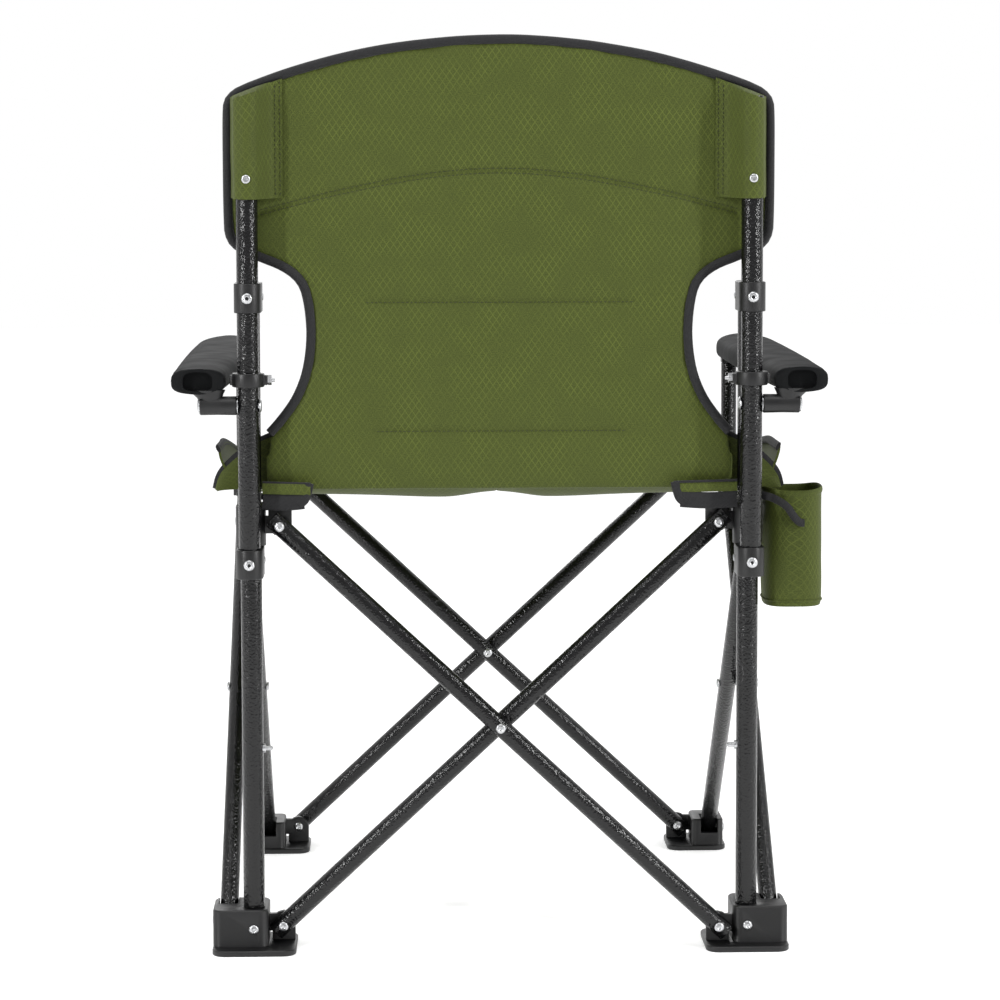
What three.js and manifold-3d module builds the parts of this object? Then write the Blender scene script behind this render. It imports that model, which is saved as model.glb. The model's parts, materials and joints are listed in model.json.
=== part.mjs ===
// Folding camp chair: a four-sided scissor frame with twin-tube rear posts,
// swinging armrests and a fabric seat. Millimetres, +Z up. The chair faces -Y, and +X is the sitter's left.
import * as THREE from "three";
import { mergeVertices } from "three/addons/utils/BufferGeometryUtils.js";
import Module from "manifold-3d";

const wasm = await Module();
wasm.setup();

// ---- driving dimensions ----

// scissor frame
const PIVOT_HALF = 226; // half of the distance between the pivots of each scissor
const PIVOT_Z = 24; // lower pivots above the floor
const RISE = 420; // lower pivots to upper pivots
const PLANE_GAP = 10.5; // a crossing bar's axis from the middle plane of its scissor
const REAR_PLANE = 260;
const FRONT_PLANE = -251;
const SIDE_INNER_X = 261.5;
const SIDE_OUTER_X = 284;
const BAR_R = 9.5;
const BAR_WALL = 1.2;
const BAR_END = 11; // tube past the pivot's centre

// rear posts: a leg tube that the seat bracket slides on, and a back tube behind it
const POST_X = 256;
const POST_R = 11;
const POST_WALL = 1.2;
const LEG_Y = 255;
const LEG_BOTTOM = 8;
const LEG_TOP = 692;
const BACK_Y = 288;
const BACK_BOTTOM = 393;
const BACK_TOP = 889;
const LOWER_COLLAR_Z = 407;
const UPPER_COLLAR_Z = 678;
const COLLAR_H = 30;
const COLLAR_WALL = 2.8;

// feet
const REAR_FOOT_TOP = 44;
const FRONT_FOOT_TOP = 37;
const BASE_H = 6;
const CHEEK = 4.5; // plastic outside a side bar's end
const LUG_THICK = 6.5; // plastic beside a cross bar's end
const FOOT_INNER_X = 212;
const CUP_INNER_X = 241;

// seat brackets
const BRACKET_H = 40.5;
const BRACKET_PLATE = 5;
const SLEEVE_R = 15.5;

// armrests
const ARM_PIVOT_Z = 569;
const ARM_REAR_Y = 305;
const ARM_FRONT_Y = -312;
const ARM_REAR_X = [278, 333];
const ARM_FRONT_X = [270.5, 340];
const ARM_BOTTOM = 582;
const ARM_TOP = 608;
const ARM_CEILING = 598;
const ARM_WALL = 3;
const BARREL_R = 9.7;
const BARREL_END_X = 305;
const PIVOT_BOLT_R = 4;
const CLAMP_Z = 595;
const CLAMP_H = 14;

// front arm posts
const ARM_POST_X = 287;
const ARM_POST_Y = -251;
const ARM_POST_R = 9;
const ARM_POST_TOP = 576;
const CAP_ROUND = 10; // the cap's top is a round that rolls along the armrest's ceiling
const CAP_TOP = 597.5;

// fabric
const SEAT_HALF = 268;
const SEAT_REAR_Y = 236;
const SEAT_FRONT_Y = -262;
const SEAT_THICK = 14;
const BACK_PANEL_Y = 259;
const BACK_PANEL_THICK = 14;
const BACK_HALF = 279;
const BACK_WAIST = 196;
const BACK_HIP = 237;
const BACK_PANEL_BOTTOM = 470;
const BACK_CORNER_Z = 878;
const BACK_PEAK_Z = 942;
const POCKET_X = [275, 337];
const POCKET_Y = [180, 252];
const POCKET_Z = [353, 475];
const POCKET_WALL = 3;

// fasteners and clearance
const PIN_R = 3;
const HEAD_R = 5.4;
const HEAD_H = 2.4;
const GAP = 0.35; // between touching pieces, and round a pin in its hole

const LEFT = 1;
const RIGHT = -1;
const sideName = (side) => (side === LEFT ? "left" : "right");

// ---- materials ----

const FINISH = {
  steel: { color: 0x26272a, roughness: 0.42, metalness: 0.6 },
  plastic: { color: 0x1d1e20, roughness: 0.55, metalness: 0 },
  armPlastic: { color: 0x35373b, roughness: 0.5, metalness: 0 },
  rivet: { color: 0xc9ccd0, roughness: 0.25, metalness: 1 },
  fabric: { color: 0x5b7423, roughness: 0.85, metalness: 0 },
};

const chair = new THREE.Group();

// Pieces are drawn for the left-hand side; the right-hand one is the same solid across the X = 0 plane.
function addPiece(name, solid, finish, side = LEFT) {
  const mesh = new THREE.Mesh(toGeometry(solid, side), new THREE.MeshStandardMaterial(FINISH[finish]));
  mesh.name = name;
  chair.add(mesh);
}

// ---- solids ----

function toSolid(geometry) {
  const bare = geometry.clone();
  bare.deleteAttribute("normal");
  bare.deleteAttribute("uv");
  const merged = mergeVertices(bare, 1e-4);
  return new wasm.Manifold(
    new wasm.Mesh({
      numProp: 3,
      vertProperties: new Float32Array(merged.attributes.position.array),
      triVerts: new Uint32Array(merged.index.array),
    }),
  );
}

function toGeometry(solid, side) {
  const mesh = solid.getMesh();
  const corners = Array.from(mesh.triVerts);
  const places = Float32Array.from(mesh.vertProperties);
  if (side === RIGHT) {
    for (let i = 0; i < places.length; i += 3) places[i] = -places[i];
    corners.reverse();
  }
  const geometry = new THREE.BufferGeometry();
  geometry.setAttribute("position", new THREE.BufferAttribute(places, 3));
  geometry.setIndex(corners);
  geometry.computeVertexNormals();
  return geometry;
}

const vec = (x, y, z) => new THREE.Vector3(x, y, z);
const X_AXIS = vec(1, 0, 0);
const Y_AXIS = vec(0, 1, 0);
const Z_AXIS = vec(0, 0, 1);

const union = (first, ...rest) => rest.reduce((all, solid) => all.add(solid), first);
const cut = (solid, ...tools) => tools.reduce((left, tool) => left.subtract(tool), solid);

// The corners may be given either way round.
function box(x0, x1, y0, y1, z0, z1) {
  const geometry = new THREE.BoxGeometry(Math.abs(x1 - x0), Math.abs(y1 - y0), Math.abs(z1 - z0));
  geometry.translate((x0 + x1) / 2, (y0 + y1) / 2, (z0 + z1) / 2);
  return toSolid(geometry);
}

// Points of (radius, distance along) turned about the line from a towards b.
function turned(a, b, profile, segments) {
  const geometry = new THREE.LatheGeometry(
    profile.map(([radius, along]) => new THREE.Vector2(radius, along)),
    segments,
  );
  const direction = b.clone().sub(a).normalize();
  geometry.applyQuaternion(new THREE.Quaternion().setFromUnitVectors(Y_AXIS, direction));
  geometry.translate(a.x, a.y, a.z);
  return toSolid(geometry);
}

function rod(a, b, radius, segments = 16) {
  const length = a.distanceTo(b);
  return turned(a, b, [[0, 0], [radius, 0], [radius, length], [0, length]], segments);
}

// A rod along an axis through a centre, reaching the same distance each way.
function through(centre, axis, reach, radius, segments = 12) {
  const a = centre.clone().addScaledVector(axis, -reach);
  const b = centre.clone().addScaledVector(axis, reach);
  return rod(a, b, radius, segments);
}

const pinHole = (centre, axis, reach, radius = PIN_R) => through(centre, axis, reach, radius + GAP, 8);

function tube(a, b, radius, wall) {
  const reach = b.clone().sub(a).normalize();
  const bore = rod(a.clone().sub(reach), b.clone().add(reach), radius - wall, 12);
  return rod(a, b, radius).subtract(bore);
}

// A plan outline raised from z0 to z1, with its edges rounded by the bevel.
function raised(shape, z0, z1, bevel = 0) {
  const geometry = new THREE.ExtrudeGeometry(shape, {
    depth: z1 - z0 - 2 * bevel,
    bevelEnabled: bevel > 0,
    bevelThickness: bevel,
    bevelSize: bevel,
    bevelOffset: -bevel,
    bevelSegments: 1,
    curveSegments: 4,
  });
  geometry.translate(0, 0, z0 + bevel);
  return toSolid(geometry);
}

function roundedRectangle(x0, x1, y0, y1, radius) {
  const shape = new THREE.Shape();
  shape.absarc(x1 - radius, y0 + radius, radius, -Math.PI / 2, 0);
  shape.absarc(x1 - radius, y1 - radius, radius, 0, Math.PI / 2);
  shape.absarc(x0 + radius, y1 - radius, radius, Math.PI / 2, Math.PI);
  shape.absarc(x0 + radius, y0 + radius, radius, Math.PI, 1.5 * Math.PI);
  return shape;
}

// ---- pins ----

// A rivet between the two outer faces a and b, with a domed head on each.
function rivet(a, b, radius = PIN_R, head = HEAD_R) {
  const length = a.distanceTo(b);
  const shoulder = head * 0.65;
  const dome = HEAD_H * 0.8;
  const profile = [
    [0, -HEAD_H],
    [shoulder, -dome],
    [head, 0],
    [radius, 0],
    [radius, length],
    [head, length],
    [shoulder, length + dome],
    [0, length + HEAD_H],
  ];
  return turned(a, b, profile, 10);
}

// A stud with one domed head on the face a, its other end blind at b.
function stud(a, b) {
  const length = a.distanceTo(b);
  const profile = [
    [0, -HEAD_H],
    [HEAD_R * 0.65, -HEAD_H * 0.8],
    [HEAD_R, 0],
    [PIN_R, 0],
    [PIN_R, length],
    [0, length],
  ];
  return turned(a, b, profile, 10);
}

// ---- scissor bars ----

const TOP_Z = PIVOT_Z + RISE;
const CROSS_Z = PIVOT_Z + RISE / 2;

// A bar between two pivots, rounded past each of them, and drilled there and in the middle.
function scissorBar(low, high, pivotAxis) {
  const along = high.clone().sub(low).normalize();
  const start = low.clone().addScaledVector(along, -BAR_END);
  const end = high.clone().addScaledVector(along, BAR_END);
  const middle = low.clone().add(high).multiplyScalar(0.5);
  const roundEnds = union(
    through(low, pivotAxis, 2 * BAR_R, BAR_END),
    through(high, pivotAxis, 2 * BAR_R, BAR_END),
    rod(low, high, 2 * BAR_R, 8),
  );
  const body = tube(start, end, BAR_R, BAR_WALL).intersect(roundEnds);
  return cut(body, ...[low, middle, high].map((point) => pinHole(point, pivotAxis, 2 * BAR_R)));
}

// The bar that rises from the right foot to the left bracket lies behind the other one.
function crossScissor(place, planeY) {
  for (const side of [LEFT, RIGHT]) {
    const y = crossBarY(planeY, side, false);
    const bar = scissorBar(vec(PIVOT_HALF, y, PIVOT_Z), vec(-PIVOT_HALF, y, TOP_Z), Y_AXIS);
    addPiece(`${place}_bar_from_${sideName(side)}`, bar, "steel", side);
  }
  const reach = PLANE_GAP + BAR_R + GAP;
  const pin = rivet(vec(0, planeY - reach, CROSS_Z), vec(0, planeY + reach, CROSS_Z));
  addPiece(`${place}_cross_rivet`, pin, "rivet");
}

// The axis of the cross bar that ends at a corner: its low end is at a foot, its high end at a bracket.
function crossBarY(planeY, side, isHigh) {
  const fromLeft = (side === LEFT) !== isHigh;
  return planeY + (fromLeft ? -PLANE_GAP : PLANE_GAP);
}

function sideScissor(side) {
  const outer = scissorBar(
    vec(SIDE_OUTER_X, PIVOT_HALF, PIVOT_Z),
    vec(SIDE_OUTER_X, -PIVOT_HALF, TOP_Z),
    X_AXIS,
  );
  const inner = scissorBar(
    vec(SIDE_INNER_X, -PIVOT_HALF, PIVOT_Z),
    vec(SIDE_INNER_X, PIVOT_HALF, TOP_Z),
    X_AXIS,
  );
  const pin = rivet(
    vec(SIDE_INNER_X - BAR_R - GAP, 0, CROSS_Z),
    vec(SIDE_OUTER_X + BAR_R + GAP, 0, CROSS_Z),
  );
  addPiece(`side_bar_outer_${sideName(side)}`, outer, "steel", side);
  addPiece(`side_bar_inner_${sideName(side)}`, inner, "steel", side);
  addPiece(`side_cross_rivet_${sideName(side)}`, pin, "rivet", side);
}

// ---- lugs and slots, shared by feet and brackets ----

const SLACK = 0.5; // beside a bar's end
const LUG_R = BAR_END + 1;
const SLOT_TOP = 99; // above any foot
const LUG_ROOT_HALF = 9; // half height of the lug where it joins the cup
const TURNING_ROOM = 1.5; // round a bar's end

// A plate beside a cross bar's end, rounded about the pivot. It reaches down or up to edgeZ
// and across to rootX.
// lugSide is -1 in front of the bar and +1 behind it.
function crossLug(barY, lugSide, z, edgeZ, rootX) {
  const near = barY + lugSide * (BAR_R + SLACK);
  const far = near + lugSide * LUG_THICK;
  const middle = vec(PIVOT_HALF, (near + far) / 2, z);
  return union(
    through(middle, Y_AXIS, LUG_THICK / 2, LUG_R),
    box(PIVOT_HALF - LUG_R, PIVOT_HALF + LUG_R, near, far, z, edgeZ),
    box(PIVOT_HALF, rootX, near, far, z - LUG_ROOT_HALF, z + LUG_ROOT_HALF),
  );
}

function crossEndPin(barY, lugSide, z) {
  const barFace = barY - lugSide * (BAR_R + GAP);
  const lugFace = barY + lugSide * (BAR_R + SLACK + LUG_THICK + GAP);
  return rivet(vec(PIVOT_HALF, barFace, z), vec(PIVOT_HALF, lugFace, z));
}

// Room for a side bar's end, open upwards and towards openY.
function footSlot(x, y, openY) {
  const half = BAR_R + SLACK;
  const room = BAR_END + TURNING_ROOM;
  const back = openY > y ? y - room : y + room;
  const turning = through(vec(x, y, PIVOT_Z), X_AXIS, half, room);
  return union(turning, box(x - half, x + half, back, openY, PIVOT_Z - BAR_END / 3, SLOT_TOP));
}

const REAR_FOOT_Y = [206, 292];
const REAR_CUP_Y = [209, 272];
const FRONT_FOOT_Y = [-278, -202];
const FRONT_CUP_Y = [-262, -206];
const FOOT_ROUND = 14;
const REAR_CUP_ROUND = 9;
const FRONT_CUP_ROUND = 7;
const FRONT_FLANGE = 3; // base beyond the cup, outwards
const LUG_OVERLAP = 4; // lug into the cup
const REAR_SLOT_OPEN_Y = 190;
const FRONT_SLOT_OPEN_Y = -190;
const STUD_INSET = 3; // a side pin past the bar's inner face

// The cup that grips a post or a side bar stands on a wider base flange.
function foot(base, cup, lug, ...holes) {
  return cut(union(raised(base, 0, BASE_H, 1), raised(cup[0], 1, cup[1], 1.5), lug), ...holes);
}

function rearFoot(side) {
  const name = sideName(side);
  const barY = crossBarY(REAR_PLANE, side, false);
  const outerX = SIDE_OUTER_X + BAR_R + SLACK + CHEEK;
  const body = foot(
    roundedRectangle(FOOT_INNER_X, outerX, ...REAR_FOOT_Y, FOOT_ROUND),
    [roundedRectangle(CUP_INNER_X, outerX, ...REAR_CUP_Y, REAR_CUP_ROUND), REAR_FOOT_TOP],
    crossLug(barY, -1, PIVOT_Z, 1, CUP_INNER_X + LUG_OVERLAP),
    rod(vec(POST_X, LEG_Y, LEG_BOTTOM - GAP), vec(POST_X, LEG_Y, SLOT_TOP), POST_R + GAP),
    footSlot(SIDE_OUTER_X, PIVOT_HALF, REAR_SLOT_OPEN_Y),
    pinHole(vec(PIVOT_HALF, barY, PIVOT_Z), Y_AXIS, 40),
    pinHole(vec(SIDE_OUTER_X + 8, PIVOT_HALF, PIVOT_Z), X_AXIS, 22),
    pinHole(vec(POST_X, LEG_Y, PIVOT_Z), Y_AXIS, 60),
  );
  addPiece(`rear_foot_${name}`, body, "plastic", side);
  addPiece(`rear_foot_cross_pin_${name}`, crossEndPin(barY, -1, PIVOT_Z), "rivet", side);
  const sidePin = stud(
    vec(outerX + GAP, PIVOT_HALF, PIVOT_Z),
    vec(SIDE_OUTER_X - BAR_R - STUD_INSET, PIVOT_HALF, PIVOT_Z),
  );
  addPiece(`rear_foot_side_pin_${name}`, sidePin, "rivet", side);
  const postPin = rivet(
    vec(POST_X, REAR_CUP_Y[0] - GAP, PIVOT_Z),
    vec(POST_X, REAR_CUP_Y[1] + GAP, PIVOT_Z),
  );
  addPiece(`rear_foot_post_pin_${name}`, postPin, "rivet", side);
}

function frontFoot(side) {
  const name = sideName(side);
  const barY = crossBarY(FRONT_PLANE, side, false);
  const lugSide = Math.sign(FRONT_PLANE - barY);
  const outerX = SIDE_INNER_X + BAR_R + SLACK + CHEEK + 2;
  const body = foot(
    roundedRectangle(FOOT_INNER_X, outerX + FRONT_FLANGE, ...FRONT_FOOT_Y, FOOT_ROUND),
    [roundedRectangle(CUP_INNER_X, outerX, ...FRONT_CUP_Y, FRONT_CUP_ROUND), FRONT_FOOT_TOP],
    crossLug(barY, lugSide, PIVOT_Z, 1, CUP_INNER_X + LUG_OVERLAP),
    footSlot(SIDE_INNER_X, -PIVOT_HALF, FRONT_SLOT_OPEN_Y),
    pinHole(vec(PIVOT_HALF, barY, PIVOT_Z), Y_AXIS, 30),
    pinHole(vec(SIDE_INNER_X + 8, -PIVOT_HALF, PIVOT_Z), X_AXIS, 24),
  );
  addPiece(`front_foot_${name}`, body, "plastic", side);
  addPiece(`front_foot_cross_pin_${name}`, crossEndPin(barY, lugSide, PIVOT_Z), "rivet", side);
  const sidePin = stud(
    vec(outerX + GAP, -PIVOT_HALF, PIVOT_Z),
    vec(SIDE_INNER_X - BAR_R - STUD_INSET - 1, -PIVOT_HALF, PIVOT_Z),
  );
  addPiece(`front_foot_side_pin_${name}`, sidePin, "rivet", side);
}

// ---- rear posts ----

function doubleCollar(z) {
  const outline = new THREE.Shape();
  outline.absarc(POST_X, LEG_Y, POST_R + COLLAR_WALL, Math.PI, 2 * Math.PI);
  outline.absarc(POST_X, BACK_Y, POST_R + COLLAR_WALL, 0, Math.PI);
  const block = raised(outline, z - COLLAR_H / 2, z + COLLAR_H / 2, 1.2);
  const bores = [LEG_Y, BACK_Y].map((y) => through(vec(POST_X, y, z), Z_AXIS, COLLAR_H, POST_R + GAP, 16));
  return cut(block, ...bores);
}

function rearPost(side) {
  const name = sideName(side);
  const leg = tube(vec(POST_X, LEG_Y, LEG_BOTTOM), vec(POST_X, LEG_Y, LEG_TOP), POST_R, POST_WALL);
  const back = tube(vec(POST_X, BACK_Y, BACK_BOTTOM), vec(POST_X, BACK_Y, BACK_TOP), POST_R, POST_WALL);
  const pivot = vec(POST_X, BACK_Y, ARM_PIVOT_Z);
  addPiece(`leg_tube_${name}`, cut(leg, pinHole(vec(POST_X, LEG_Y, PIVOT_Z), Y_AXIS, 20)), "steel", side);
  addPiece(`back_tube_${name}`, cut(back, pinHole(pivot, X_AXIS, 20, PIVOT_BOLT_R)), "steel", side);
  addPiece(`lower_collar_${name}`, doubleCollar(LOWER_COLLAR_Z), "plastic", side);
  addPiece(`upper_collar_${name}`, doubleCollar(UPPER_COLLAR_Z), "plastic", side);
}

// ---- seat brackets ----

const BRACKET_TOP = LOWER_COLLAR_Z + COLLAR_H / 2 + GAP + BRACKET_H;
const REAR_CHEEK = 8;
const FRONT_CHEEK = 7;
const CHEEK_DROP = 8; // cheek below the pivot
const SOCKET_WALL = 3.5;
const SOCKET_FLOOR = 4;
const SOCKET_OPEN_Z = 600; // above any bracket

// A plate inboard of a side bar's end, which its pin goes through.
const sideCheek = (barX, thick, y0, y1) =>
  box(barX - BAR_R - SLACK - thick, barX - BAR_R - SLACK, y0, y1, TOP_Z - CHEEK_DROP, BRACKET_TOP);

// The rear bracket's sleeve slides on the leg tube and comes to rest on the lower collar.
function rearBracket(side) {
  const name = sideName(side);
  const barY = crossBarY(REAR_PLANE, side, true);
  const body = cut(
    union(
      through(vec(POST_X, LEG_Y, BRACKET_TOP - BRACKET_H / 2), Z_AXIS, BRACKET_H / 2, SLEEVE_R, 16),
      sideCheek(SIDE_INNER_X, REAR_CHEEK, PIVOT_HALF - LUG_R, LEG_Y - 8),
      crossLug(barY, -1, TOP_Z, BRACKET_TOP, POST_X - SLEEVE_R + 5),
      box(
        PIVOT_HALF - LUG_R, SLEEVE_R + POST_X,
        PIVOT_HALF - LUG_R, LEG_Y - 4,
        BRACKET_TOP - BRACKET_PLATE, BRACKET_TOP,
      ),
    ),
    through(vec(POST_X, LEG_Y, TOP_Z), Z_AXIS, 60, POST_R + GAP, 16),
    pinHole(vec(PIVOT_HALF, barY, TOP_Z), Y_AXIS, 26),
    pinHole(vec(SIDE_INNER_X, PIVOT_HALF, TOP_Z), X_AXIS, 24),
  );
  addPiece(`rear_bracket_${name}`, body, "plastic", side);
  addPiece(`rear_bracket_cross_pin_${name}`, crossEndPin(barY, -1, TOP_Z), "rivet", side);
  const sidePin = rivet(
    vec(SIDE_INNER_X - BAR_R - SLACK - REAR_CHEEK - GAP, PIVOT_HALF, TOP_Z),
    vec(SIDE_INNER_X + BAR_R + GAP, PIVOT_HALF, TOP_Z),
  );
  addPiece(`rear_bracket_side_pin_${name}`, sidePin, "rivet", side);
}

// The front bracket has a socket for the armrest's post.
function frontBracket(side) {
  const name = sideName(side);
  const barY = crossBarY(FRONT_PLANE, side, true);
  const lugSide = Math.sign(FRONT_PLANE - barY);
  const socket = ARM_POST_R + SOCKET_WALL;
  const bottom = BRACKET_TOP - BRACKET_H;
  const body = cut(
    union(
      box(
        ARM_POST_X - socket, ARM_POST_X + socket,
        ARM_POST_Y - socket, -PIVOT_HALF - LUG_R,
        bottom, BRACKET_TOP,
      ),
      sideCheek(SIDE_OUTER_X, FRONT_CHEEK, -PIVOT_HALF - LUG_R - 8, -PIVOT_HALF + LUG_R),
      crossLug(barY, lugSide, TOP_Z, BRACKET_TOP, ARM_POST_X - socket + 3),
      box(
        PIVOT_HALF - LUG_R, ARM_POST_X + socket,
        ARM_POST_Y - socket, -PIVOT_HALF + LUG_R,
        BRACKET_TOP - BRACKET_PLATE, BRACKET_TOP,
      ),
    ),
    rod(
      vec(ARM_POST_X, ARM_POST_Y, bottom + SOCKET_FLOOR),
      vec(ARM_POST_X, ARM_POST_Y, SOCKET_OPEN_Z),
      ARM_POST_R + GAP,
    ),
    pinHole(vec(PIVOT_HALF, barY, TOP_Z), Y_AXIS, 26),
    pinHole(vec(SIDE_OUTER_X, -PIVOT_HALF, TOP_Z), X_AXIS, 24),
  );
  addPiece(`front_bracket_${name}`, body, "plastic", side);
  addPiece(`front_bracket_cross_pin_${name}`, crossEndPin(barY, lugSide, TOP_Z), "rivet", side);
  const sidePin = rivet(
    vec(SIDE_OUTER_X - BAR_R - SLACK - FRONT_CHEEK - GAP, -PIVOT_HALF, TOP_Z),
    vec(SIDE_OUTER_X + BAR_R + GAP, -PIVOT_HALF, TOP_Z),
  );
  addPiece(`front_bracket_side_pin_${name}`, sidePin, "rivet", side);
  const post = tube(
    vec(ARM_POST_X, ARM_POST_Y, bottom + SOCKET_FLOOR + GAP),
    vec(ARM_POST_X, ARM_POST_Y, ARM_POST_TOP),
    ARM_POST_R,
    BAR_WALL,
  );
  addPiece(`arm_post_${name}`, post, "steel", side);
}

// ---- armrests ----

const PLUG_LENGTH = 16; // of the cap, down inside the post
const ARM_REAR_ROUND = 24;
const ARM_FRONT_ROUND = 30;
const ARM_TAPER_Y = [-40, 60, 150]; // where the sides start, and the two pulls of their curve
const BARREL_START_X = POST_X + POST_R + 0.7;
const NECK_X = [290, 302];
const NECK_Y = [BACK_Y - 11, BACK_Y + 8];
const BOLT_HEAD_R = 7;
const CLAMP_WALL = 5.5;
const CLAMP_LUG_HALF = 5;
const CLAMP_INWARD = 9; // the clamp's lug past the tube, towards the middle
const CLAMP_OUTWARD = 7.5; // and towards the armrest

// The cap plugs the post's end, and its round top runs in the armrest's open underside.
function armPostCap(side) {
  const centre = vec(ARM_POST_X, ARM_POST_Y, CAP_TOP - CAP_ROUND);
  const low = ARM_POST_TOP + GAP;
  const plug = ARM_POST_R - BAR_WALL - GAP;
  const cap = union(
    through(centre, X_AXIS, ARM_POST_R, CAP_ROUND, 16),
    box(
      ARM_POST_X - ARM_POST_R, ARM_POST_X + ARM_POST_R,
      ARM_POST_Y - ARM_POST_R, ARM_POST_Y + ARM_POST_R,
      low, centre.z,
    ),
    rod(vec(ARM_POST_X, ARM_POST_Y, ARM_POST_TOP - PLUG_LENGTH), vec(ARM_POST_X, ARM_POST_Y, centre.z), plug),
  );
  addPiece(`arm_post_cap_${sideName(side)}`, cap, "plastic", side);
}

// Plan of the armrest, wide in front and narrower behind, drawn in from its edge by inset.
function armPlan(inset) {
  const [rear0, rear1] = ARM_REAR_X;
  const [front0, front1] = ARM_FRONT_X;
  const left0 = rear0 + inset;
  const left1 = front0 + inset;
  const right0 = rear1 - inset;
  const right1 = front1 - inset;
  const rear = ARM_REAR_Y - inset;
  const front = ARM_FRONT_Y + inset;
  const rearStart = ARM_REAR_Y - ARM_REAR_ROUND;
  const frontStart = ARM_FRONT_Y + ARM_FRONT_ROUND;
  const [taper, pull0, pull1] = ARM_TAPER_Y;
  const shape = new THREE.Shape();
  shape.moveTo(left0, rearStart);
  shape.bezierCurveTo(left0, rear, right0, rear, right0, rearStart);
  shape.bezierCurveTo(right0, pull1, right1, pull0, right1, taper);
  shape.lineTo(right1, frontStart);
  shape.bezierCurveTo(right1, front, left1, front, left1, frontStart);
  shape.lineTo(left1, taper);
  shape.bezierCurveTo(left1, pull0, left0, pull1, left0, rearStart);
  return shape;
}

function armrest(side) {
  const name = sideName(side);
  const pivot = vec(0, BACK_Y, ARM_PIVOT_Z);
  const barrelMiddle = (BARREL_START_X + BARREL_END_X) / 2;
  const body = cut(
    union(
      cut(
        raised(armPlan(0), ARM_BOTTOM, ARM_TOP, 4),
        raised(armPlan(ARM_WALL), ARM_BOTTOM - 5, ARM_CEILING),
      ),
      box(...NECK_X, ...NECK_Y, ARM_PIVOT_Z, ARM_CEILING + 2),
      through(vec(barrelMiddle, pivot.y, pivot.z), X_AXIS, BARREL_END_X - barrelMiddle, BARREL_R, 16),
    ),
    pinHole(vec(barrelMiddle, pivot.y, pivot.z), X_AXIS, 30, PIVOT_BOLT_R),
  );
  addPiece(`armrest_${name}`, body, "armPlastic", side);
  const bolt = rivet(
    vec(POST_X - POST_R - GAP, pivot.y, pivot.z),
    vec(BARREL_END_X + GAP, pivot.y, pivot.z),
    PIVOT_BOLT_R,
    BOLT_HEAD_R,
  );
  addPiece(`arm_pivot_bolt_${name}`, bolt, "rivet", side);
  const clampCentre = vec(POST_X, BACK_Y, CLAMP_Z);
  const clamp = cut(
    union(
      through(clampCentre, Z_AXIS, CLAMP_H / 2, POST_R + CLAMP_WALL, 16),
      box(
        POST_X - POST_R - CLAMP_INWARD, POST_X + POST_R + CLAMP_OUTWARD,
        BACK_Y - CLAMP_LUG_HALF, BACK_Y + CLAMP_LUG_HALF,
        CLAMP_Z - CLAMP_LUG_HALF, CLAMP_Z + CLAMP_LUG_HALF,
      ),
    ),
    through(clampCentre, Z_AXIS, CLAMP_H, POST_R + GAP, 16),
  );
  addPiece(`arm_clamp_${name}`, clamp, "plastic", side);
}

// ---- fabric ----

const SEAT_ROUND = 12;
const SEAT_START_X = 0.3; // half of the slit at the middle seam
const SEAT_LIFT = 1.5; // above the brackets
const HIP_TOP_Z = 510;
const ARMHOLE_Z = [545, 570, 615, 670, 705]; // pulls of the armhole's curves, and its narrowest height
const ARMHOLE_X = 215;
const WING_Z = 722; // the wing's lower edge
const POCKET_ROUND = 26;

// Half of the seat, from the middle seam to the edge, resting on the brackets.
function seatHalf(side) {
  const outline = roundedRectangle(SEAT_START_X, SEAT_HALF, SEAT_FRONT_Y, SEAT_REAR_Y, SEAT_ROUND);
  const low = BRACKET_TOP + SEAT_LIFT;
  addPiece(`seat_${sideName(side)}`, raised(outline, low, low + SEAT_THICK, 3), "fabric", side);
}

// The backrest: wide at the shoulders, in at the waist to clear the posts, and wider again at the hips.
function backrest() {
  const [hipPull, lowPull, narrow, highPull, wingPull] = ARMHOLE_Z;
  const shape = new THREE.Shape();
  shape.moveTo(-BACK_HIP, BACK_PANEL_BOTTOM);
  shape.lineTo(BACK_HIP, BACK_PANEL_BOTTOM);
  shape.lineTo(BACK_HIP, HIP_TOP_Z);
  shape.bezierCurveTo(BACK_WAIST, hipPull, BACK_WAIST, lowPull, BACK_WAIST, narrow);
  shape.bezierCurveTo(BACK_WAIST, highPull, ARMHOLE_X, wingPull, BACK_HALF, WING_Z);
  shape.lineTo(BACK_HALF, BACK_CORNER_Z);
  shape.quadraticCurveTo(BACK_HALF / 2, BACK_PEAK_Z, 0, BACK_PEAK_Z);
  shape.quadraticCurveTo(-BACK_HALF / 2, BACK_PEAK_Z, -BACK_HALF, BACK_CORNER_Z);
  shape.lineTo(-BACK_HALF, WING_Z);
  shape.bezierCurveTo(-ARMHOLE_X, wingPull, -BACK_WAIST, highPull, -BACK_WAIST, narrow);
  shape.bezierCurveTo(-BACK_WAIST, lowPull, -BACK_WAIST, hipPull, -BACK_HIP, HIP_TOP_Z);
  const geometry = new THREE.ExtrudeGeometry(shape, {
    depth: BACK_PANEL_THICK,
    bevelEnabled: false,
    curveSegments: 10,
  });
  geometry.rotateX(Math.PI / 2);
  geometry.translate(0, BACK_PANEL_Y + BACK_PANEL_THICK, 0);
  addPiece("backrest", toSolid(geometry), "fabric");
}

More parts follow.
